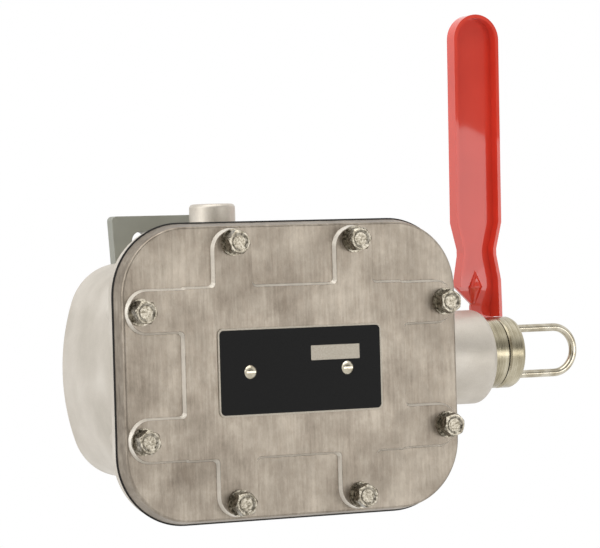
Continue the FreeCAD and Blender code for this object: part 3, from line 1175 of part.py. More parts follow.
def make_terminals():
    """The terminal block on its posts, its screws, and the ground screw."""
    left, right = -s.block_middle - s.block_half, -s.block_middle + s.block_half
    back, front = s.block_depth, s.block_depth + s.block_thick
    middle = block("block_core", left, right, back, front, -s.block_half_height, s.block_half_height)
    lugs = block("block_lugs", left - s.block_lug, right + s.block_lug, back, back + s.block_lug_thick,
                 -s.block_half_height * 0.6, s.block_half_height * 0.6)
    whole = fuse("block_whole", [middle, lugs])
    bay_pitch = s.block_half * 2 / s.bay_count
    tools = []
    screws = []
    for index in range(int(s.bay_count.value)):
        start = left + bay_pitch * index
        bay_from, bay_to = start + s.barrier / 2, start + bay_pitch - s.barrier / 2
        tools.append(block("bay_%d" % index, bay_from, bay_to, front - s.barrier_depth, front,
                           -s.block_half_height, s.block_half_height))
        x = start + bay_pitch / 2
        for row, sign in enumerate((-1, 1)):
            z = s.block_half_height * 0.5 * sign
            name = "%d_%d" % (index, row)
            tools.append(cylinder("terminal_hole_" + name, s.terminal_shank + s.tap_fit, s.terminal_length,
                                  ALONG_DEPTH, x, front - s.barrier_depth - s.terminal_length, z))
            head = cylinder("terminal_head_" + name, s.terminal_radius, s.terminal_head, ALONG_DEPTH,
                            x, front - s.barrier_depth, z)
            shank = cylinder("terminal_shank_" + name, s.terminal_shank, s.terminal_length, ALONG_DEPTH,
                             x, front - s.barrier_depth - s.terminal_length, z)
            screws.append(fuse("terminal_" + name, [head, shank]))
    for index, (x, z) in enumerate(BLOCK_POSTS):
        tools.append(cylinder("block_hole_%d" % index, s.post_screw_radius + s.pin_gap, s.block_lug_thick,
                              ALONG_DEPTH, x, back, z))
    keep("terminal_block", cut("block_cut", whole, tools))
    keep("terminal_screws", group("terminal_group", screws))

    fixings = []
    for index, (x, z) in enumerate(BLOCK_POSTS):
        head = cylinder("block_screw_head_%d" % index, s.post_screw_head_radius, s.post_screw_head,
                        ALONG_DEPTH, x, back + s.block_lug_thick, z)
        shank = cylinder("block_screw_shank_%d" % index, s.post_screw_radius,
                         s.block_lug_thick + s.post_screw_length, ALONG_DEPTH, x, back - s.post_screw_length, z)
        fixings.append(fuse("block_screw_%d" % index, [head, shank]))
    keep("terminal_block_screws", group("block_screw_group", fixings))

    seat = housing_inside + s.earth_boss_length
    head = hexagon("earth_head_solid", s.earth_head_radius * math.sqrt(3.0), s.earth_head,
                   -s.earth_x, seat, -s.earth_z, 10)
    shank = cylinder("earth_shank", s.earth_radius, s.earth_length, ALONG_DEPTH,
                     -s.earth_x, seat - s.earth_length, -s.earth_z)
    keep("ground_screw", fuse("earth_whole", [head, shank]))


def make_lever():
    """The red lever of pressed sheet, its pin, washer and clip."""
    washer_front = s.lug_depth + s.lever_washer
    foot_back = washer_front + s.lever_gap
    foot_front = foot_back + s.lever_sheet
    blade_back = foot_back + s.lever_step
    blade_front = blade_back + s.lever_sheet
    rim_front = blade_back + s.lever_rim
    m, sheet_thick = s.lever_middle, s.lever_sheet
    top = m + s.lever_lean
    round_z = s.lever_tip - s.lever_half

    def blade_outline(inset, foot_z):
        """The blade's outline, from the crease up to where the round tip starts."""
        half, waist, flare = s.lever_half - inset, s.lever_waist - inset, s.lever_flare - inset
        right = [(m + flare, foot_z), (m + flare, s.lever_flare_z), (m + waist, s.lever_waist_foot_z),
                 (m + waist, s.lever_waist_top_z), (m + half, s.lever_shoulder_z), (top + half, round_z)]
        left = [(top - half, round_z), (m - half, s.lever_shoulder_z), (m - waist, s.lever_waist_top_z),
                (m - waist, s.lever_waist_foot_z), (m - flare, s.lever_flare_z), (m - flare, foot_z)]
        return right + left

    body = new_body("lever_pressing")
    blade = new_sketch(body, "lever_blade", "front", blade_back)
    draw_polygon(blade, blade_outline(as_size(0.0), s.lever_crease_z))
    pad(body, blade, s.lever_rim)
    tip = new_sketch(body, "lever_tip_disc", "front", blade_back)
    draw_circle(tip, top, round_z, s.lever_half)
    pad(body, tip, s.lever_rim)
    hollow = new_sketch(body, "lever_hollow", "front", rim_front)
    draw_polygon(hollow, blade_outline(sheet_thick, s.lever_crease_z - 1.0))
    pocket(body, hollow, s.lever_rim - sheet_thick)
    tip_hollow = new_sketch(body, "lever_tip_hollow", "front", rim_front)
    draw_circle(tip_hollow, top, round_z, s.lever_half - sheet_thick)
    pocket(body, tip_hollow, s.lever_rim - sheet_thick)

    # The step at the crease is a strip seen from the side, as wide as the foot.
    step = new_sketch(body, "lever_step_strip", "side", s.lever_foot_left)
    draw_polygon(step, [(-foot_back, s.lever_bend_z), (-foot_front, s.lever_bend_z),
                        (-blade_front, s.lever_crease_z), (-blade_front, s.lever_crease_z + sheet_thick),
                        (-blade_back, s.lever_crease_z + sheet_thick), (-blade_back, s.lever_crease_z)])
    pad(body, step, s.lever_foot_right - s.lever_foot_left)
    foot = new_sketch(body, "lever_foot", "front", foot_back)
    draw_polygon(foot, [(s.pivot_x - s.lever_eye, s.axis_rise), (s.pivot_x + s.lever_eye, s.axis_rise),
                        (s.lever_foot_right, s.lever_rim_foot_z), (s.lever_foot_right, s.lever_bend_z + 0.2),
                        (s.lever_neck_left, s.lever_bend_z + 0.2)])
    pad(body, foot, sheet_thick)
    eye = new_sketch(body, "lever_eye_disc", "front", foot_back)
    draw_circle(eye, s.pivot_x, s.axis_rise, s.lever_eye)
    pad(body, eye, sheet_thick)
    rim = new_sketch(body, "lever_foot_rim", "front", foot_back)
    draw_polygon(rim, [(s.lever_foot_right - sheet_thick, s.lever_rim_foot_z),
                       (s.lever_foot_right, s.lever_rim_foot_z),
                       (s.lever_foot_right, s.lever_bend_z), (m + s.lever_flare, s.lever_flare_z),
                       (m + s.lever_flare - sheet_thick, s.lever_flare_z),
                       (s.lever_foot_right - sheet_thick, s.lever_bend_z)])
    pad(body, rim, s.lever_step + s.lever_rim)
    diagonal = new_sketch(body, "lever_foot_diagonal", "front", rim_front)
    outside_x, outside_z = s.lever_foot_left - sheet_thick, s.lever_bend_z - sheet_thick
    draw_polygon(diagonal, [(outside_x, s.lever_crease_z), (s.lever_foot_left, s.lever_crease_z),
                            (s.lever_neck_left, s.lever_neck_z), (s.lever_neck_left, outside_z),
                            (outside_x, outside_z)])
    pocket(body, diagonal, rim_front - foot_back)
    gusset = new_sketch(body, "lever_gusset", "front", blade_front - sheet_thick / 2)
    draw_polygon(gusset, [(m - s.gusset_half, s.lever_crease_z), (m + s.gusset_half, s.lever_crease_z),
                          (m, s.lever_crease_z + s.gusset_rise)])
    pad(body, gusset, sheet_thick / 2 + s.gusset_height, -s.gusset_slope)
    pin_hole = new_sketch(body, "lever_pin_hole", "front", foot_front)
    draw_circle(pin_hole, s.pivot_x, s.axis_rise, s.pivot_radius + s.pin_gap)
    pocket(body, pin_hole, sheet_thick)
    keep("lever", body)

    clip_back = foot_front + s.lever_gap
    clip_front = clip_back + s.lever_clip
    pin_end = clip_front + 0.8
    pin_back = s.lug_depth - s.lug_thick
    rod = cylinder("pivot_rod", s.pivot_radius, pin_end - pin_back, ALONG_DEPTH, s.pivot_x, pin_back, s.axis_rise)
    head = hexagon("pivot_head_solid", s.pivot_head_radius * math.sqrt(3.0), s.pivot_head,
                   s.pivot_x, pin_back - s.pivot_head, s.axis_rise, 20)
    pivot = fuse("pivot_whole", [rod, head])
    groove_disc = cylinder("pivot_groove_disc", s.pivot_radius + 1.0, s.lever_clip, ALONG_DEPTH,
                           s.pivot_x, clip_back, s.axis_rise)
    groove_core = cylinder("pivot_groove_core", s.pivot_radius - 1.0, s.lever_clip, ALONG_DEPTH,
                           s.pivot_x, clip_back, s.axis_rise)
    groove = cut("pivot_groove", groove_disc, [groove_core])
    keep("lever_pivot_pin", cut("pivot_cut", pivot, [groove]))

    ring = cylinder("lever_washer_disc", s.lever_washer_radius, s.lever_washer, ALONG_DEPTH,
                    s.pivot_x, s.lug_depth, s.axis_rise)
    ring_eye = cylinder("lever_washer_eye", s.pivot_radius + s.pin_gap, s.lever_washer, ALONG_DEPTH,
                        s.pivot_x, s.lug_depth, s.axis_rise)
    keep("lever_washer", cut("lever_washer_cut", ring, [ring_eye]))

    plate = cylinder("lever_clip_disc", s.lever_clip_radius, s.lever_clip, ALONG_DEPTH,
                     s.pivot_x, clip_back, s.axis_rise)
    core = cylinder("lever_clip_core", s.pivot_radius - 1.0, s.lever_clip, ALONG_DEPTH,
                    s.pivot_x, clip_back, s.axis_rise)
    mouth = block("lever_clip_mouth", s.pivot_x - s.pivot_radius * 0.7, s.pivot_x + s.pivot_radius * 0.7,
                  clip_back, clip_front, s.axis_rise - s.lever_clip_radius - 1.0, s.axis_rise)
    keep("lever_clip", cut("lever_clip_cut", plate, [core, mouth]))


def check_and_write():
    """Stops if anything failed, and then writes one file for each piece."""
    doc.recompute()
    for thing in doc.Objects:
        if "Invalid" in thing.State or "Error" in thing.State:
            raise RuntimeError("%s has not been worked out: %s" % (thing.Name, thing.State))
    for label, piece in nodes.items():
        if piece.Shape.isNull() or not piece.Shape.isValid():
            raise RuntimeError("%s has no valid shape" % label)
        if not piece.Shape.Solids:
            raise RuntimeError("%s has no solid" % label)
    os.makedirs("parts", exist_ok=True)
    for label, piece in nodes.items():
        piece.Shape.exportStep("parts/%s.step" % label)
        print("%-24s %d solids, %.0f cubic mm" % (label, len(piece.Shape.Solids), piece.Shape.Volume))


make_housing()
make_gasket()
make_cover()
make_cover_screws()
make_nameplate()
make_mounting_plate()
make_pull_parts()
make_switches()
make_terminals()
make_lever()
check_and_write()
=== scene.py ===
"""Looks of a cast cable pull switch: cast aluminium, plated steel, a black plate and a red lever."""

import json
import math

import bmesh
import bpy
import numpy as np
from mathutils import Matrix, Vector


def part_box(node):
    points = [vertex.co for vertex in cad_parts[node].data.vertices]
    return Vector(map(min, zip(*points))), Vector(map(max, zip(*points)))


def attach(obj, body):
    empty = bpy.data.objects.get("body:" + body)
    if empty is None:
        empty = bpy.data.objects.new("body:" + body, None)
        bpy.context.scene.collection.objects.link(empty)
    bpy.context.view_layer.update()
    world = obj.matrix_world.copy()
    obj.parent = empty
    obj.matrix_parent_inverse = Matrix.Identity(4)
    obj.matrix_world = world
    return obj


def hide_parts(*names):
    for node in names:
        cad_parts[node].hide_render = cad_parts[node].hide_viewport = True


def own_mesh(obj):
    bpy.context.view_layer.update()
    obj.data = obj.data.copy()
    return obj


MM = 0.001

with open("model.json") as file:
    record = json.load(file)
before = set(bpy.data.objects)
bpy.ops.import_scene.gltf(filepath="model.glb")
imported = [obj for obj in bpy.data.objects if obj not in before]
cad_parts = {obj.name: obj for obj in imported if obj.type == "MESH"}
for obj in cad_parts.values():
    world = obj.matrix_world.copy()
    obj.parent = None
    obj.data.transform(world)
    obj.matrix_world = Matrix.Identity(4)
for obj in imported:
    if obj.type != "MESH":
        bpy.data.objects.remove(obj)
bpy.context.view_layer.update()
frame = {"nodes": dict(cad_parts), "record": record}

# The photograph's camera: a long lens, a little left of the cover and level with it.
CAMERA_PLACE = Vector((-0.7925, -1.71062, 0.0707))
CAMERA_FORWARD = Vector((0.44971521, 0.89313551, -0.00807392))
CAMERA_ROLL = math.radians(1.5865)
CAMERA_LENS = 180.0
SENSOR_WIDTH = 36.0

# Edges of a copied node are eased where they turn by more than this.
SHARP_ANGLE = math.radians(28)

FLOOR_HEIGHT = -0.30
FLOOR_HALF = 30.0

# The kinds of node that most materials use.
NOISE = "ShaderNodeTexNoise"
STRETCH = "ShaderNodeMapping"
RAMP = "ShaderNodeValToRGB"
RANGE = "ShaderNodeMapRange"
MATH = "ShaderNodeMath"
MIX = "ShaderNodeMix"
BUMP = "ShaderNodeBump"

# The slopes between the two levels of the cover's front, where the cover's material paints a highlight:
# their middle in depth, and how far they reach.
SLOPE_MIDDLE = 128.4
SLOPE_HALF, SLOPE_FADE = 1.2, 1.5

# The nameplate's black field and its blank pale one: middle, half sides and corner radius, in millimetres.
BLACK_FIELD = ((2.2, 0.0), (52.9, 24.8), 2.8)
BLANK_FIELD = ((25.05, 9.65), (16.15, 4.35), 0.4)


def linear(hex_colour):
    """Turns an sRGB hex colour into linear red, green, blue and alpha."""
    channels = [int(hex_colour[i:i + 2], 16) / 255 for i in (1, 3, 5)]
    return tuple(c / 12.92 if c <= 0.04045 else ((c + 0.055) / 1.055) ** 2.4 for c in channels) + (1.0,)


def add_node(tree, kind, links=(), stops=(), **settings):
    """Adds a node, gives its properties and sockets their values, and links (source, input) pairs to it.

    A setting whose name is a property is set on the node, and any other on the input socket of that name
    with underscores read as spaces, or of that number after the word input. A source is a socket, or a node
    whose first output is meant. The stops are a colour ramp's positions and hex colours.
    """
    node = tree.nodes.new(kind)
    for name, value in settings.items():
        if hasattr(node, name):
            setattr(node, name, value)
        elif name.startswith("input"):
            node.inputs[int(name[5:])].default_value = value
        else:
            node.inputs[name.replace("_", " ")].default_value = value
    for index, (position, colour) in enumerate(stops):
        if index >= len(node.color_ramp.elements):
            node.color_ramp.elements.new(position)
        node.color_ramp.elements[index].position = position
        node.color_ramp.elements[index].color = linear(colour)
    for source, target in links:
        socket = source.outputs[0] if isinstance(source, bpy.types.Node) else source
        tree.links.new(socket, node.inputs[target])
    return node


def start_material(name):
    """A new material, its node tree and its Object coordinates."""
    material = bpy.data.materials.new(name)
    material.use_nodes = True
    tree = material.node_tree
    tree.nodes.clear()
    return material, tree, add_node(tree, "ShaderNodeTexCoord").outputs["Object"]


def dress(tree, links, **settings):
    """Adds the one surface shader of a material and its output."""
    shader = add_node(tree, "ShaderNodeBsdfPrincipled", links, **settings)
    add_node(tree, "ShaderNodeOutputMaterial", [(shader, "Surface")])


def ground_cast_aluminium():
    """Aluminium sand casting whose front was ground on a belt: warm grey, with faint upright streaks.

    Streaks about 1.5 mm wide run up and down, over stains a few centimetres wide and flecks of 4 mm. The
    slopes between the two levels of the front carry a painted highlight: they are painted pale and made less
    metallic.
    """
    material, tree, place = start_material("ground_cast_aluminium")
    along = add_node(tree, STRETCH, [(place, "Vector")], Scale=(1.0, 1.0, 0.07))
    short = add_node(tree, STRETCH, [(place, "Vector")], Scale=(1.0, 1.0, 0.5))
    stains = add_node(tree, NOISE, [(place, "Vector")], Scale=1 / 0.024, Detail=6.0, Roughness=0.62)
    streaks = add_node(tree, NOISE, [(along, "Vector")], Scale=1 / 0.0015, Detail=3.0, Roughness=0.65)
    flecks = add_node(tree, NOISE, [(short, "Vector")], Scale=1 / 0.004, Detail=4.0, Roughness=0.7)
    first = add_node(tree, MATH, [(flecks, 0)], operation="MULTIPLY", input1=0.34)
    second = add_node(tree, MATH, [(streaks, 0), (first, 2)], operation="MULTIPLY_ADD", input1=0.2)
    tone = add_node(tree, MATH, [(stains, 0), (second, 2)], operation="MULTIPLY_ADD", input1=0.46)
    colour = add_node(tree, RAMP, [(tone, "Fac")],
                      stops=[(0.36, "#756B5F"), (0.5, "#958B7E"), (0.62, "#B0A698")])
    rough = add_node(tree, RANGE, [(flecks, "Value")], From_Min=0.3, From_Max=0.7, To_Min=0.34,
                     To_Max=0.48)
    grooves = add_node(tree, MATH, [(streaks, 0), (flecks, 1)], operation="ADD")
    bump = add_node(tree, BUMP, [(grooves, "Height")], Distance=0.05 * MM)
    # Painted highlight: the slopes between the two levels of the front are painted pale and made less
    # metallic.
    axes = add_node(tree, "ShaderNodeSeparateXYZ", [(place, 0)])
    middle = add_node(tree, MATH, [(axes.outputs["Y"], 0)], operation="ADD", input1=SLOPE_MIDDLE * MM)
    away = add_node(tree, MATH, [(middle, 0)], operation="ABSOLUTE")
    painted_slope_highlight = add_node(tree, RANGE, [(away, "Value")], From_Min=SLOPE_HALF * MM, From_Max=SLOPE_FADE * MM,
                     To_Min=0.8, To_Max=0.0)
    both = add_node(tree, MIX, [(painted_slope_highlight, 0), (colour, 6)], data_type="RGBA", input7=linear("#EDE7DC"))
    metal = add_node(tree, RANGE, [(painted_slope_highlight, "Value")], To_Min=0.9, To_Max=0.25)
    dress(tree, [(both.outputs[2], "Base Color"), (metal, "Metallic"), (rough, "Roughness"),
                 (bump, "Normal")])
    return material


def sand_cast_aluminium():
    """Aluminium sand casting left as it came: paler grey, finely grained, with soft clouds 3 cm wide."""
    material, tree, place = start_material("sand_cast_aluminium")
    clouds = add_node(tree, NOISE, [(place, "Vector")], Scale=1 / 0.030, Detail=5.0, Roughness=0.5)
    grain = add_node(tree, NOISE, [(place, "Vector")], Scale=1 / 0.0009, Detail=3.0, Roughness=0.7)
    first = add_node(tree, MATH, [(grain, 0)], operation="MULTIPLY", input1=0.3)
    tone = add_node(tree, MATH, [(clouds, 0), (first, 2)], operation="MULTIPLY_ADD", input1=0.7)
    colour = add_node(tree, RAMP, [(tone, "Fac")],
                      stops=[(0.35, "#BFB8AC"), (0.5, "#CDC6BB"), (0.66, "#DAD4CA")])
    rough = add_node(tree, RANGE, [(grain, "Value")], From_Min=0.3, From_Max=0.7, To_Min=0.42,
                     To_Max=0.55)
    bump = add_node(tree, BUMP, [(grain, "Height")], Distance=0.06 * MM)
    dress(tree, [(colour, "Base Color"), (rough, "Roughness"), (bump, "Normal")], Metallic=0.7)
    return material


def plated_screw_steel():
    """Zinc plated steel of a rolled screw: grey with a yellow cast, mottled every 1.6 mm, half bright."""
    material, tree, place = start_material("plated_screw_steel")
    mottle = add_node(tree, NOISE, [(place, "Vector")], Scale=1 / 0.0016, Detail=3.0, Roughness=0.6)
    colour = add_node(tree, RAMP, [(mottle, "Fac")],
                      stops=[(0.35, "#5C564A"), (0.5, "#8F887A"), (0.65, "#C2BBAC")])
    rough = add_node(tree, RANGE, [(mottle, "Value")], From_Min=0.3, From_Max=0.7, To_Min=0.2,
                     To_Max=0.4)
    bump = add_node(tree, BUMP, [(mottle, "Height")], Distance=0.07 * MM)
    dress(tree, [(colour, "Base Color"), (rough, "Roughness"), (bump, "Normal")], Metallic=1.0)
    return material


def turned_zinc_steel():
    """Yellowish zinc plate on turned steel: fine rings left by the tool, across the pull axis."""
    material, tree, place = start_material("turned_zinc_steel")
    along = add_node(tree, STRETCH, [(place, "Vector")], Scale=(1.0, 0.02, 0.02))
    rings = add_node(tree, NOISE, [(along, "Vector")], Scale=1 / 0.0005, Detail=2.0, Roughness=0.6)
    clouds = add_node(tree, NOISE, [(place, "Vector")], Scale=1 / 0.014, Detail=3.0, Roughness=0.5)
    first = add_node(tree, MATH, [(rings, 0)], operation="MULTIPLY", input1=0.4)
    tone = add_node(tree, MATH, [(clouds, 0), (first, 2)], operation="MULTIPLY_ADD", input1=0.6)
    colour = add_node(tree, RAMP, [(tone, "Fac")],
                      stops=[(0.35, "#8B826C"), (0.5, "#AFA68E"), (0.65, "#CEC6B0")])
    rough = add_node(tree, RANGE, [(rings, "Value")], From_Min=0.3, From_Max=0.7, To_Min=0.2,
                     To_Max=0.32)
    bump = add_node(tree, BUMP, [(rings, "Height")], Distance=0.015 * MM)
    dress(tree, [(colour, "Base Color"), (rough, "Roughness"), (bump, "Normal")], Metallic=1.0)
    return material


def drawn_steel():
    """Drawn steel wire and bar: bright, smooth, faintly clouded every 6 mm."""
    material, tree, place = start_material("drawn_steel")
    clouds = add_node(tree, NOISE, [(place, "Vector")], Scale=1 / 0.006, Detail=2.0, Roughness=0.5)
    colour = add_node(tree, RAMP, [(clouds, "Fac")],
                      stops=[(0.35, "#AAA18D"), (0.5, "#BDB5A2"), (0.65, "#CEC7B6")])
    rough = add_node(tree, RANGE, [(clouds, "Value")], From_Min=0.3, From_Max=0.7, To_Min=0.16,
                     To_Max=0.26)
    bump = add_node(tree, BUMP, [(clouds, "Height")], Distance=0.01 * MM)
    dress(tree, [(colour, "Base Color"), (rough, "Roughness"), (bump, "Normal")], Metallic=1.0)
    return material


def red_enamel():
    """Stoved red enamel on pressed steel: full red with a hard clear gloss and a slight orange peel."""
    material, tree, place = start_material("red_enamel")
    peel = add_node(tree, NOISE, [(place, "Vector")], Scale=1 / 0.0022, Detail=2.0)
    clouds = add_node(tree, NOISE, [(place, "Vector")], Scale=1 / 0.04, Detail=2.0)
    colour = add_node(tree, RAMP, [(clouds, "Fac")], stops=[(0.3, "#DA3D29"), (0.7, "#E44430")])
    bump = add_node(tree, BUMP, [(peel, "Height")], Distance=0.006 * MM)
    dress(tree, [(colour, "Base Color"), (bump, "Normal")], Roughness=0.4, Specular_IOR_Level=0.2,
          Coat_Weight=1.0, Coat_Roughness=0.03)
    return material


def grey_enamel():
    """Satin grey paint on steel plate, finely grained, with faint clouds 3 cm wide."""
    material, tree, place = start_material("grey_enamel")
    grain = add_node(tree, NOISE, [(place, "Vector")], Scale=1 / 0.0008, Detail=2.0, Roughness=0.6)
    clouds = add_node(tree, NOISE, [(place, "Vector")], Scale=1 / 0.03, Detail=3.0)
    colour = add_node(tree, RAMP, [(clouds, "Fac")], stops=[(0.3, "#8C8D83"), (0.7, "#9B9C92")])
    rough = add_node(tree, RANGE, [(grain, "Value")], From_Min=0.3, From_Max=0.7, To_Min=0.4,
                     To_Max=0.55)
    bump = add_node(tree, BUMP, [(grain, "Height")], Distance=0.03 * MM)
    dress(tree, [(colour, "Base Color"), (rough, "Roughness"), (bump, "Normal")])
    return material


def gasket_rubber():
    """Moulded black rubber sheet, dull, with a fine grain."""
    material, tree, place = start_material("gasket_rubber")
    grain = add_node(tree, NOISE, [(place, "Vector")], Scale=1 / 0.0006, Detail=2.0, Roughness=0.6)
    colour = add_node(tree, RAMP, [(grain, "Fac")], stops=[(0.3, "#171615"), (0.7, "#262422")])
    bump = add_node(tree, BUMP, [(grain, "Height")], Distance=0.03 * MM)
    dress(tree, [(colour, "Base Color"), (bump, "Normal")], Roughness=0.75, Specular_IOR_Level=0.25)
    return material


def black_anodised_plate():
    """Thin aluminium plate anodised black, bare along a rim 0.9 mm wide and in one blank field.

    Both fields are rectangles with round corners: a point is inside one if its square distance past the
    straight sides is less than the corner radius squared.
    """
    material, tree, place = start_material("black_anodised_plate")
    grain = add_node(tree, NOISE, [(place, "Vector")], Scale=1 / 0.0007, Detail=2.0, Roughness=0.6)
    black = add_node(tree, RAMP, [(grain, "Fac")], stops=[(0.3, "#060606"), (0.7, "#101010")])
    bare = add_node(tree, RAMP, [(grain, "Fac")], stops=[(0.3, "#9D9588"), (0.7, "#B6AFA2")])
    axes = add_node(tree, "ShaderNodeSeparateXYZ", [(place, 0)])
    masks = []
    for (middle, half, corner), test in ((BLACK_FIELD, "GREATER_THAN"), (BLANK_FIELD, "LESS_THAN")):
        square = None
        for axis, centre, reach in (("X", middle[0], half[0]), ("Z", middle[1], half[1])):
            moved = add_node(tree, MATH, [(axes.outputs[axis], 0)], operation="SUBTRACT",
                             input1=centre * MM)
            size = add_node(tree, MATH, [(moved, 0)], operation="ABSOLUTE")
            past = add_node(tree, MATH, [(size, 0)], operation="SUBTRACT", input1=(reach - corner) * MM)
            outer = add_node(tree, MATH, [(past, 0)], operation="MAXIMUM", input1=0.0)
            square = add_node(tree, MATH, [(outer, 0), (outer, 1)] + ([(square, 2)] if square else []),
                              operation="MULTIPLY_ADD", input2=0.0)
        masks.append(add_node(tree, MATH, [(square, 0)], operation=test, input1=(corner * MM) ** 2))
    mask = add_node(tree, MATH, [(masks[0], 0), (masks[1], 1)], operation="MAXIMUM")
    colour = add_node(tree, MIX, [(mask, 0), (black, 6), (bare, 7)], data_type="RGBA")
    metal = add_node(tree, MATH, [(mask, 0)], operation="MULTIPLY", input1=0.6)
    bump = add_node(tree, BUMP, [(grain, "Height")], Distance=0.008 * MM)
    dress(tree, [(colour.outputs[2], "Base Color"), (metal, "Metallic"), (bump, "Normal")], Roughness=0.45,
          Specular_IOR_Level=0.15)
    return material


def turned_bronze():
    """Turned bearing bronze: golden brown and satin, with rings of 0.6 mm round the pull axis."""
    material, tree, place = start_material("turned_bronze")
    along = add_node(tree, STRETCH, [(place, "Vector")], Scale=(1.0, 0.05, 0.05))
    rings = add_node(tree, NOISE, [(along, "Vector")], Scale=1 / 0.0006, Detail=2.0, Roughness=0.6)
    colour = add_node(tree, RAMP, [(rings, "Fac")], stops=[(0.3, "#A07C42"), (0.7, "#C29E5E")])
    bump = add_node(tree, BUMP, [(rings, "Height")], Distance=0.01 * MM)
    dress(tree, [(colour, "Base Color"), (bump, "Normal")], Roughness=0.32, Metallic=1.0)
    return material


def moulded_phenolic():
    """Black phenolic moulding of switch cases and terminal blocks, speckled every half millimetre."""
    material, tree, place = start_material("moulded_phenolic")
    specks = add_node(tree, NOISE, [(place, "Vector")], Scale=1 / 0.0005, Detail=2.0, Roughness=0.7)
    colour = add_node(tree, RAMP, [(specks, "Fac")], stops=[(0.4, "#1A1716"), (0.75, "#302B29")])
    bump = add_node(tree, BUMP, [(specks, "Height")], Distance=0.01 * MM)
    dress(tree, [(colour, "Base Color"), (bump, "Normal")], Roughness=0.42)
    return material


def red_nylon():
    """Moulded red nylon of the plungers, slightly clouded."""
    material, tree, place = start_material("red_nylon")
    clouds = add_node(tree, NOISE, [(place, "Vector")], Scale=1 / 0.003, Detail=2.0)
    colour = add_node(tree, RAMP, [(clouds, "Fac")], stops=[(0.3, "#96201C"), (0.7, "#A92A24")])
    dress(tree, [(colour, "Base Color")], Roughness=0.38)
    return material


def green_plated_steel():
    """Green plated steel of a ground screw, slightly clouded."""
    material, tree, place = start_material("green_plated_steel")
    clouds = add_node(tree, NOISE, [(place, "Vector")], Scale=1 / 0.002, Detail=2.0)
    colour = add_node(tree, RAMP, [(clouds, "Fac")], stops=[(0.3, "#1F5A2E"), (0.7, "#2F7A40")])
    dress(tree, [(colour, "Base Color")], Roughness=0.35, Metallic=0.6)
    return material


MATERIALS = {
    "cast_housing": sand_cast_aluminium(),
    "cast_cover": ground_cast_aluminium(),
    "gasket_rubber": gasket_rubber(),
    "screw_steel": plated_screw_steel(),
    "bright_steel": drawn_steel(),
    "zinc_steel": turned_zinc_steel(),
    "black_plate": black_anodised_plate(),
    "grey_paint": grey_enamel(),
    "red_paint": red_enamel(),
    "bronze": turned_bronze(),
    "switch_case": moulded_phenolic(),
    "plunger_red": red_nylon(),
    "ground_green": green_plated_steel(),
}


def finish_cad_nodes():
    """Gives every CAD node the material of its slot in the record."""
    for entry in frame["record"]["subparts"]:
        node = frame["nodes"][entry["node"]]
        node.data.materials.clear()
        node.data.materials.append(MATERIALS[entry["material_slot"]])


def body_of_node(name):
    for body, members in frame["record"]["behaviour"]["bodies"].items():
        if name in members:
            return body
    raise ValueError(name)


def slot_of_node(name):
    for entry in frame["record"]["subparts"]:
        if entry["node"] == name:
            return entry["material_slot"]
    raise ValueError(name)


def add_piece(name, vertices, faces, body, slot):
    """Makes a smooth mesh of vertices in metres and of faces, turned outwards, that rides on a body."""
    mesh = bpy.data.meshes.new(name)
    mesh.from_pydata(np.asarray(vertices, float).reshape(-1, 3).tolist(), [], list(faces))
    shape = bmesh.new()
    shape.from_mesh(mesh)
    bmesh.ops.recalc_face_normals(shape, faces=shape.faces)
    shape.to_mesh(mesh)
    shape.free()
    mesh.polygons.foreach_set("use_smooth", np.ones(len(mesh.polygons), bool))
    mesh.materials.append(MATERIALS[slot])
    piece = bpy.data.objects.new(name, mesh)
    bpy.context.scene.collection.objects.link(piece)
    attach(piece, body)
    return piece


def grid_faces(rows, columns, close_rows=False, close_columns=False):
    """The quads of a grid of rows by columns, closed along either way when asked."""
    row = np.arange(rows if close_rows else rows - 1)[:, None]
    column = np.arange(columns if close_columns else columns - 1)[None, :]
    next_row, next_column = (row + 1) % rows, (column + 1) % columns
    quads = np.stack(np.broadcast_arrays(row * columns + column, row * columns + next_column,
                                         next_row * columns + next_column, next_row * columns + column), -1)
    return quads.reshape(-1, 4).tolist()


def capped_tube(path, across, other, radius, sides):
    """A round wire: a circle of the given radius carried along a path.

    Point (i, j) is path_i + radius (cos a_j across_i + sin a_j other_i), where a_j goes once round, across
    is a unit vector square to the path and other is square to both. Each end is closed by a point.
    """
    angle = np.linspace(0, 2 * np.pi, sides, endpoint=False)[None, :, None]
    rings = path[:, None] + radius * (np.cos(angle) * across[:, None] + np.sin(angle) * other[:, None])
    vertices = np.concatenate([rings.reshape(-1, 3), path[:1], path[-1:]])
    faces = grid_faces(len(path), sides, close_columns=True)
    first, last = len(path) * sides, len(path) * sides + 1
    step = np.arange(sides)
    following = (step + 1) % sides
    base = (len(path) - 1) * sides
    start_cap = np.stack([np.full(sides, first), following, step], -1)
    end_cap = np.stack([np.full(sides, last), base + step, base + following], -1)
    return vertices, faces + np.concatenate([start_cap, end_cap]).tolist()


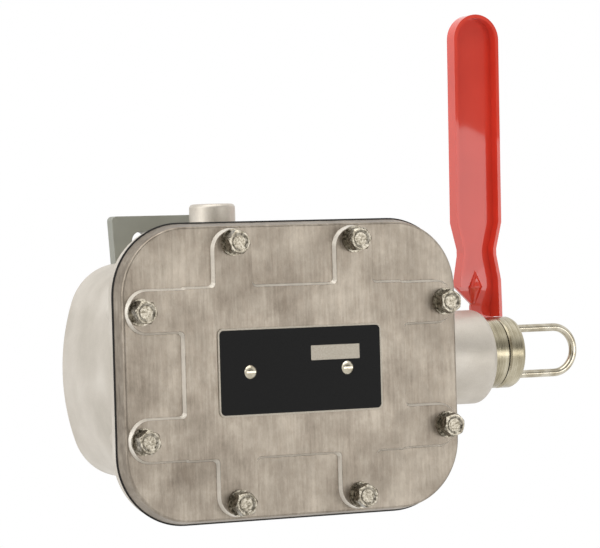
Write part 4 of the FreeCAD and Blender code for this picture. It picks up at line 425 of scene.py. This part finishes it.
def make_return_spring():
    """The coiled return spring round the pull shaft.

    The wire's middle lies on a helix: at turn t it is at angle 2 pi t on a circle round the pull axis, and
    its place along the axis grows by a small pitch in the closed end turns and a larger one between them.
    """
    low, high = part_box("return_spring")
    axis = np.array([0.0, (low[1] + high[1]) / 2, (low[2] + high[2]) / 2])
    wire = 1.0 * MM
    mean_radius = (high[1] - low[1]) / 2 - wire
    start, end = low[0] + wire * 1.05, high[0] - wire * 1.05
    turns, closed, closed_pitch = 7.0, 0.75, 2.02 * MM
    turn = np.linspace(0, turns, 337)
    active_pitch = (end - start - 2 * closed * closed_pitch) / (turns - 2 * closed)
    knots = [0, closed, turns - closed, turns]
    end_rise = closed * closed_pitch
    heights = np.cumsum([0, end_rise, (turns - 2 * closed) * active_pitch, end_rise])
    along = start + np.interp(turn, knots, heights)
    angle = 2 * np.pi * turn
    outwards = np.stack([np.zeros_like(angle), np.sin(angle), np.cos(angle)], -1)
    path = axis + np.stack([along, np.zeros_like(along), np.zeros_like(along)], -1) + mean_radius * outwards
    tangent = np.gradient(path, axis=0)
    tangent /= np.linalg.norm(tangent, axis=1)[:, None]
    other = np.cross(tangent, outwards)
    vertices, faces = capped_tube(path, outwards, other, wire, 14)
    piece = add_piece("return_spring_coil", vertices, faces, "housing", "bright_steel")
    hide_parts("return_spring")
    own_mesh(piece)


def rounded_loop(half_x, half_z, corner, per_corner):
    """Points once round a rectangle with round corners, with the unit vector outwards at each point.

    Each corner is a quarter circle of per_corner points, and the straight sides run between them.
    """
    quarter = np.linspace(0, np.pi / 2, per_corner)
    angle = (quarter[None, :] + np.arange(4)[:, None] * np.pi / 2).ravel()
    sign_x = np.repeat([1, -1, -1, 1], per_corner)
    sign_z = np.repeat([1, 1, -1, -1], per_corner)
    outwards = np.stack([np.cos(angle), np.sin(angle)], -1)
    centres = np.stack([sign_x * (half_x - corner), sign_z * (half_z - corner)], -1)
    return centres + corner * outwards, outwards


def make_gasket_lip():
    """The cover gasket, whose edge is squeezed out a little past the flange.

    A half-round profile, q from -90 to 90 degrees, is carried once round the flange's outline: its point is
    the outline moved outwards by reach (cos q) and in depth by half (sin q) of the lip's thickness. Two more
    rings on each side carry the sheet inwards between flange and cover.
    """
    half_x, half_z, corner = 110.7 * MM, 87.0 * MM, 41.3 * MM
    middle_depth, half_thick, reach = 116.9 * MM, 1.2 * MM, 1.5 * MM
    sheet_half, inset = 0.58 * MM, 8.5 * MM
    outline, outwards = rounded_loop(half_x, half_z, corner, 24)
    q = np.linspace(-np.pi / 2, np.pi / 2, 9)
    offset = np.concatenate([[-inset, -0.4 * MM], reach * np.cos(q), [-0.4 * MM, -inset]])
    depth = middle_depth + np.concatenate([[-sheet_half, -sheet_half], half_thick * np.sin(q),
                                           [sheet_half, sheet_half]])
    flat = outline[:, None] + outwards[:, None] * offset[None, :, None]
    vertices = np.stack([flat[..., 0], -np.broadcast_to(depth, flat.shape[:2]), flat[..., 1]], -1)
    faces = grid_faces(len(outline), len(offset), close_rows=True, close_columns=True)
    piece = add_piece("cover_gasket_lip", vertices, faces, "housing", "gasket_rubber")
    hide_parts("cover_gasket")


def make_lever_dart():
    """The pressed dart that stiffens the lever's bend.

    It lies along the lever's middle from its apex z = 54.6 down to its foot z = 33. At height z and across
    position v from -1 to 1 its point is the middle plus v half(z), standing proud(z) (1 - |v| cubed) in
    front of the sheet, which steps back below the crease. Both grow from the apex to the crease and shrink
    below it. The under side lies in the sheet.
    """
    apex, crease, foot = 54.6, 43.6, 33.0
    z = np.linspace(apex, foot, 40)
    rise = np.clip((apex - z) / (apex - crease), 0.02, 1)
    fall = np.clip((z - foot) / (crease - foot), 0, 1)
    half = 5.3 * rise * (0.28 + 0.72 * fall)
    proud = 2.7 * rise ** 0.8 * fall ** 0.7
    sheet_front = np.interp(z, [31.0, 44.0], [43.35, 47.2])
    v = np.linspace(-1, 1, 15)
    across = np.concatenate([v, v[-2:0:-1]])
    height = np.concatenate([1 - np.abs(v) ** 3, np.zeros(13)])
    inside = np.concatenate([np.full(15, 0.15), np.full(13, 0.7)])
    x = 170.35 + half[:, None] * across[None, :]
    depth = sheet_front[:, None] + proud[:, None] * height[None, :] - inside[None, :]
    vertices = np.stack([x, -depth, np.broadcast_to(z[:, None], x.shape)], -1) * MM
    count = len(across)
    faces = grid_faces(len(z), count, close_columns=True)
    last = (len(z) - 1) * count
    faces += [list(range(count)), list(range(last, last + count))]
    add_piece("lever_dart", vertices, faces, body_of_node("lever"), "red_paint")


def make_hub_thread():
    """The pipe thread in the conduit hub: one ridge that winds down the bore.

    At turn t and across position c from -1 to 1 the surface is at angle 2 pi t, at the bore's radius less
    ridge (1 - |c|), and at the top less pitch (t + c / 2). The ridge fades out at both ends.
    """
    centre_x, centre_depth, top = -19.0 * MM, 58.0 * MM, 99.0 * MM
    bore, ridge, pitch, turns = 9.2 * MM, 0.75 * MM, 1.814 * MM, 9.5
    turn = np.linspace(0, turns, 305)[:, None]
    across = np.array([-0.98, -0.12, 0.12, 0.98])[None, :]
    fade = np.clip(np.minimum(turn, turns - turn) / 0.5, 0.02, 1)
    height = ridge * fade * (1 - np.clip(np.abs(across) - 0.12, 0, 1) / 0.86)
    radius = bore - height
    angle = 2 * np.pi * turn
    x, y = centre_x + radius * np.cos(angle), -centre_depth + radius * np.sin(angle)
    vertices = np.stack(np.broadcast_arrays(x, y, top - pitch * (turn + across / 2)), -1)
    faces = grid_faces(*vertices.shape[:2])
    add_piece("conduit_hub_thread", vertices, faces, "housing", "cast_housing")


def lever_bend(depth, z, angle):
    """The bends between the lever's blade and its rim, outside and inside, above the crease."""
    return z > 46 and depth < 48 and abs(angle) > math.radians(60)


def eased_copy(name, edge_mm, wide_mm=0.0, is_wide=None):
    """A copy of a rigid node with its triangles joined and its sharp edges eased by edge_mm.

    Where is_wide says so for the depth and height of an edge's middle in millimetres and for its angle, the
    edge is rounded by wide_mm instead, as a bend in sheet is. Edges under SHARP_ANGLE are left.
    """
    source = frame["nodes"][name]
    mesh = source.data.copy()
    mesh.name = name + "_eased"
    shape = bmesh.new()
    shape.from_mesh(mesh)
    bmesh.ops.remove_doubles(shape, verts=shape.verts, dist=0.002 * MM)
    bmesh.ops.dissolve_limit(shape, angle_limit=math.radians(0.5), verts=shape.verts, edges=shape.edges)
    most = max(edge_mm, wide_mm)
    weight = shape.edges.layers.float.new("bevel_weight_edge")
    for edge in shape.edges:
        if len(edge.link_faces) == 2 and edge.calc_face_angle(0.0) > SHARP_ANGLE:
            middle = (edge.verts[0].co + edge.verts[1].co) / 2 / MM
            angle = edge.calc_face_angle_signed(0.0)
            chosen = is_wide is not None and is_wide(-middle.y, middle.z, angle)
            edge[weight] = (wide_mm if chosen else edge_mm) / most
    shape.to_mesh(mesh)
    shape.free()
    piece = bpy.data.objects.new(name + "_eased", mesh)
    bpy.context.scene.collection.objects.link(piece)
    mesh.materials.clear()
    mesh.materials.append(MATERIALS[slot_of_node(name)])
    mesh.polygons.foreach_set("use_smooth", np.ones(len(mesh.polygons), bool))
    ease = piece.modifiers.new("edges", "BEVEL")
    ease.width = most * MM
    ease.segments = 4
    ease.limit_method = "WEIGHT"
    ease.use_clamp_overlap = True
    normals = piece.modifiers.new("normals", "WEIGHTED_NORMAL")
    normals.keep_sharp = False
    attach(piece, body_of_node(name))
    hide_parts(name)
    return piece


def set_camera():
    """The camera, turned about its view by the photograph's small roll."""
    level_right = CAMERA_FORWARD.cross(Vector((0, 0, 1))).normalized()
    level_down = CAMERA_FORWARD.cross(level_right)
    right = level_right * math.cos(CAMERA_ROLL) + level_down * math.sin(CAMERA_ROLL)
    down = -level_right * math.sin(CAMERA_ROLL) + level_down * math.cos(CAMERA_ROLL)
    lens = bpy.data.cameras.new("camera")
    lens.lens = CAMERA_LENS
    lens.sensor_fit = "HORIZONTAL"
    lens.sensor_width = SENSOR_WIDTH
    lens.clip_end = 200.0
    camera = bpy.data.objects.new("camera", lens)
    bpy.context.scene.collection.objects.link(camera)
    turn = Matrix((right, -down, -CAMERA_FORWARD)).transposed().to_4x4()
    camera.matrix_world = Matrix.Translation(CAMERA_PLACE) @ turn
    bpy.context.scene.camera = camera


def seen_as_white(tree, shader, mirrored=1.0):
    """The camera and glass see plain white instead of the given shader, and metal white times mirrored."""
    path = add_node(tree, "ShaderNodeLightPath")
    rays = [(path.outputs["Is Camera Ray"], 0), (path.outputs["Is Transmission Ray"], 1)]
    direct = add_node(tree, MATH, rays, operation="MAXIMUM")
    seen = add_node(tree, MATH, [(direct, 0), (path.outputs["Is Glossy Ray"], 1)], operation="MAXIMUM")
    strength = add_node(tree, MATH, [(direct, 0)], operation="MAXIMUM", input1=1.0)
    if mirrored != 1.0:
        tree.links.new(mirrored.outputs[0], strength.inputs[1])
    kind = "ShaderNodeBackground" if shader.type == "BACKGROUND" else "ShaderNodeEmission"
    white = add_node(tree, kind, [(strength, "Strength")], Color=(1.0, 1.0, 1.0, 1.0))
    return add_node(tree, "ShaderNodeMixShader", [(seen, 0), (shader, 1), (white, 2)])


def build_world():
    """A pale surround that is darker in front of the cover, as in a studio with the camera in a gap."""
    world = bpy.data.worlds.new("studio")
    bpy.context.scene.world = world
    world.use_nodes = True
    tree = world.node_tree
    tree.nodes.clear()
    place = add_node(tree, "ShaderNodeTexCoord").outputs["Generated"]
    ahead = add_node(tree, "ShaderNodeVectorMath", [(place, 0)], operation="DOT_PRODUCT",
                     input1=(0.12, -0.99, -0.08))
    level = add_node(tree, RANGE, [(ahead.outputs["Value"], "Value")], From_Min=0.35, From_Max=1.0,
                     To_Min=0.5, To_Max=0.2)
    mirrored = add_node(tree, RANGE, [(ahead.outputs["Value"], "Value")], From_Min=0.5,
                        From_Max=0.93, To_Min=1.0, To_Max=0.12)
    soft = add_node(tree, "ShaderNodeBackground", [(level, "Strength")], Color=(1.0, 0.985, 0.96, 1.0))
    add_node(tree, "ShaderNodeOutputWorld", [(seen_as_white(tree, soft, mirrored), "Surface")])


def build_floor():
    """A plain pale floor that runs out of sight."""
    mesh = bpy.data.meshes.new("floor")
    half, height = FLOOR_HALF, FLOOR_HEIGHT
    corners = [(-half, -half, height), (half, -half, height), (half, half, height), (-half, half, height)]
    mesh.from_pydata(corners, [], [(0, 1, 2, 3)])
    floor = bpy.data.objects.new("floor", mesh)
    bpy.context.scene.collection.objects.link(floor)
    material, tree, _ = start_material("pale_floor")
    matt = add_node(tree, "ShaderNodeBsdfPrincipled", Base_Color=linear("#F4F3F1"), Roughness=0.9)
    add_node(tree, "ShaderNodeOutputMaterial", [(seen_as_white(tree, matt), "Surface")])
    mesh.materials.append(material)


def add_lamp(name, place, target, width, height, watts, colour="#FFFFFF"):
    """A soft rectangular lamp at place, turned to target."""
    lamp = bpy.data.lights.new(name, "AREA")
    lamp.shape = "RECTANGLE"
    lamp.size = width
    lamp.size_y = height
    lamp.energy = watts
    lamp.color = linear(colour)[:3]
    holder = bpy.data.objects.new(name, lamp)
    bpy.context.scene.collection.objects.link(holder)
    holder.location = place
    direction = Vector(target) - Vector(place)
    holder.rotation_euler = direction.to_track_quat("-Z", "Z").to_euler()


def build_lights():
    """A wide lamp overhead and a low card at the right that the cover and the lever mirror."""
    add_lamp("overhead", (-0.3, -0.5, 1.6), (0.05, -0.05, 0.0), 1.8, 1.2, 16.0)
    add_lamp("right_card", (1.05, -2.1, -0.02), (0.08, -0.05, 0.0), 1.6, 0.68, 9.0)
    add_lamp("left_fill", (-1.8, -0.3, 0.5), (0.0, -0.05, 0.0), 0.9, 1.1, 10.0)


bpy.context.scene.view_settings.view_transform = "Standard"
finish_cad_nodes()
set_camera()
build_world()
build_floor()
build_lights()
eased_copy("cover", 0.6)
eased_copy("housing_body", 0.8)
eased_copy("lever", 0.6, 2.4, lever_bend)
eased_copy("mounting_plate", 0.8)
make_return_spring()
make_gasket_lip()
make_hub_thread()
make_lever_dart()
